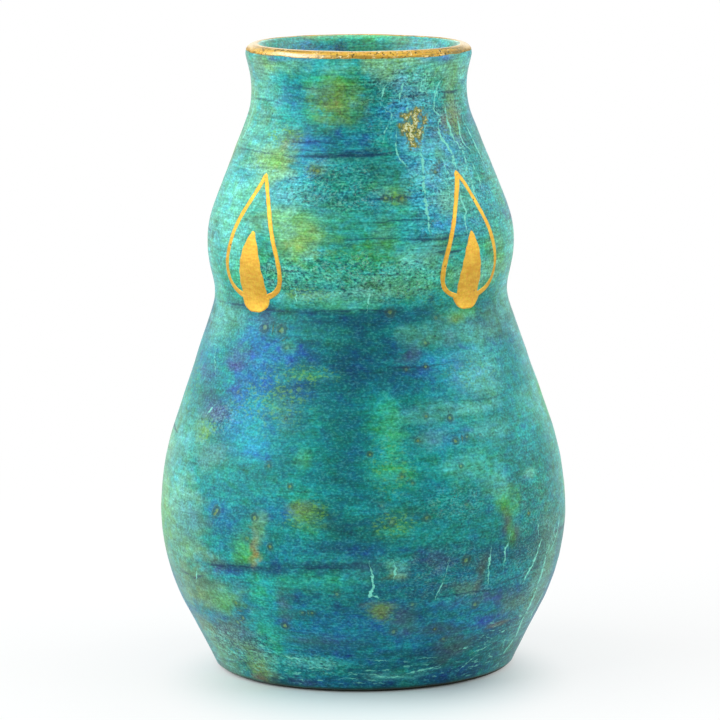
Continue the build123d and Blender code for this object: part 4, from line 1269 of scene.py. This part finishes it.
# Each drop: its azimuth, its loop's shift, slant and swell, then its leaf's lean, bow, reach, bud's reach
# and trim.
DROPS = [
    (-45, (-0.5, 1.2, -0.09), (1.1, -0.75, 5.7, 6.3, -0.3)),
    (45, (0.75, 0.7, 0.02), (0.6, 0.30, 5.0, 6.1, 0.4)),
    (135, (0.2, -0.3, 0.06), (0.7, -0.35, 5.4, 6.1, 0.1)),
    (225, (-0.2, 0.4, -0.06), (0.4, 0.20, 5.2, 5.9, 0.2)),
]

outer_skin()
lining_skin()
rim_band()
for number, (azimuth, loop, leaf) in enumerate(DROPS, 1):
    gilt_loop(number, azimuth, *loop)
    gilt_leaf(number, azimuth, *leaf)
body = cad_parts["clay_body"]
body.data.materials.clear()
body.data.materials.append(clay)

# ---- Floor, light and camera ----

LIT_POINT = Vector((0, 0, 0.1))  # what the lamps look at
AMBIENT = 0.42  # strength of the world's light on the object
LENS, SENSOR = 229.6, 36  # mm
CAMERA_AT = Vector((0, -1.45663, 0.32157))
PITCH, YAW, ROLL = 90 - 8.716, 0.0233, -0.615  # degrees


def seen_directly(t):
    """1 for rays that look at the background or mirror it, 0 for rays that light the object."""
    path = t.make("ShaderNodeLightPath").outputs
    seen = t.math("MAXIMUM", path["Is Camera Ray"], path["Is Glossy Ray"])
    return t.math("MAXIMUM", seen, path["Is Transmission Ray"])


def floor_material():
    """Pale paper. Away from the object it fades to the white of the background for rays that see it."""
    t = Tree(bpy.data.materials.new("floor"))
    # the distance from a point a little in front of the axis, since the shade lies to the front
    out = t.vector("LENGTH", t.vector("MULTIPLY_ADD", t.point, (1.25, 1, 1), (0, 0.03, 0))[0])[1]
    fade = t.math("ADD", t.ramp(out, 0.034, 0.088, 0, 0.78), t.ramp(out, 0.088, 0.45, 0, 0.22))
    # painted shade and painted bounce light from the glaze: the paper is darker and cyan near the object
    paper = t.mix(t.ramp(out, 0.05, 0.15), paint("paper_painted_shade"), paint("paper"))
    shaders = [t.make("ShaderNodeBsdfDiffuse", paper), t.make("ShaderNodeEmission")]
    far = t.times(fade, seen_directly(t))
    return t.show(t.make("ShaderNodeMixShader", far, *[shader.outputs[0] for shader in shaders]))


def make_floor():
    turn = np.linspace(0, TAU, 96, endpoint=False)
    out = np.concatenate([[0.0005], np.linspace(0.05, 1, 20) ** 2 * 3.2])[:, None]
    points = np.stack([out * np.sin(turn), -out * np.cos(turn), 0 * out * turn], -1)[::-1]
    floor = grid_mesh("floor", points, around=True)
    floor.data.materials.append(floor_material())


def soft_light(name, azimuth, elevation, distance, size, power):
    """A square area lamp that looks at the vase from an azimuth and elevation in degrees."""
    lamp = bpy.data.lights.new(name, "AREA")
    lamp.shape, lamp.size, lamp.energy = "SQUARE", size, power
    turn, up = math.radians(azimuth), math.radians(elevation)
    way = Vector((math.sin(turn) * math.cos(up), -math.cos(turn) * math.cos(up), math.sin(up)))
    holder = bpy.data.objects.new(name, lamp)
    turned = way.to_track_quat("Z", "Y").to_matrix().to_4x4()
    holder.matrix_world = Matrix.Translation(LIT_POINT + way * distance) @ turned
    bpy.context.scene.collection.objects.link(holder)


def make_world():
    """White to look at, and dimmer as a light on the object."""
    world = bpy.data.worlds.new("studio")
    bpy.context.scene.world = world
    t = Tree(world)
    lights = [t.make("ShaderNodeBackground", (1, 1, 1), strength).outputs[0] for strength in (AMBIENT, 1.0)]
    t.show(t.make("ShaderNodeMixShader", seen_directly(t), *lights), "ShaderNodeOutputWorld")


def make_camera():
    """The photograph's view: a long lens, from a little above, with the vase leaning by half a degree."""
    camera = bpy.data.cameras.new("camera")
    camera.lens, camera.sensor_width = LENS, SENSOR
    camera.clip_start, camera.clip_end = 0.05, 20
    holder = bpy.data.objects.new("camera", camera)
    holder.matrix_world = Matrix.Translation(CAMERA_AT)
    for angle, axis in ((YAW, "Z"), (PITCH, "X"), (ROLL, "Z")):
        holder.matrix_world = holder.matrix_world @ Matrix.Rotation(math.radians(angle), 4, axis)
    bpy.context.scene.collection.objects.link(holder)
    bpy.context.scene.camera = holder


make_floor()
soft_light("left_softbox", azimuth=-80, elevation=28, distance=1.7, size=2.2, power=34)
soft_light("right_softbox", azimuth=88, elevation=24, distance=1.8, size=2.0, power=18)
soft_light("top_softbox", azimuth=150, elevation=76, distance=1.6, size=1.6, power=7)
make_world()
make_camera()
bpy.context.scene.view_settings.view_transform = "Standard"
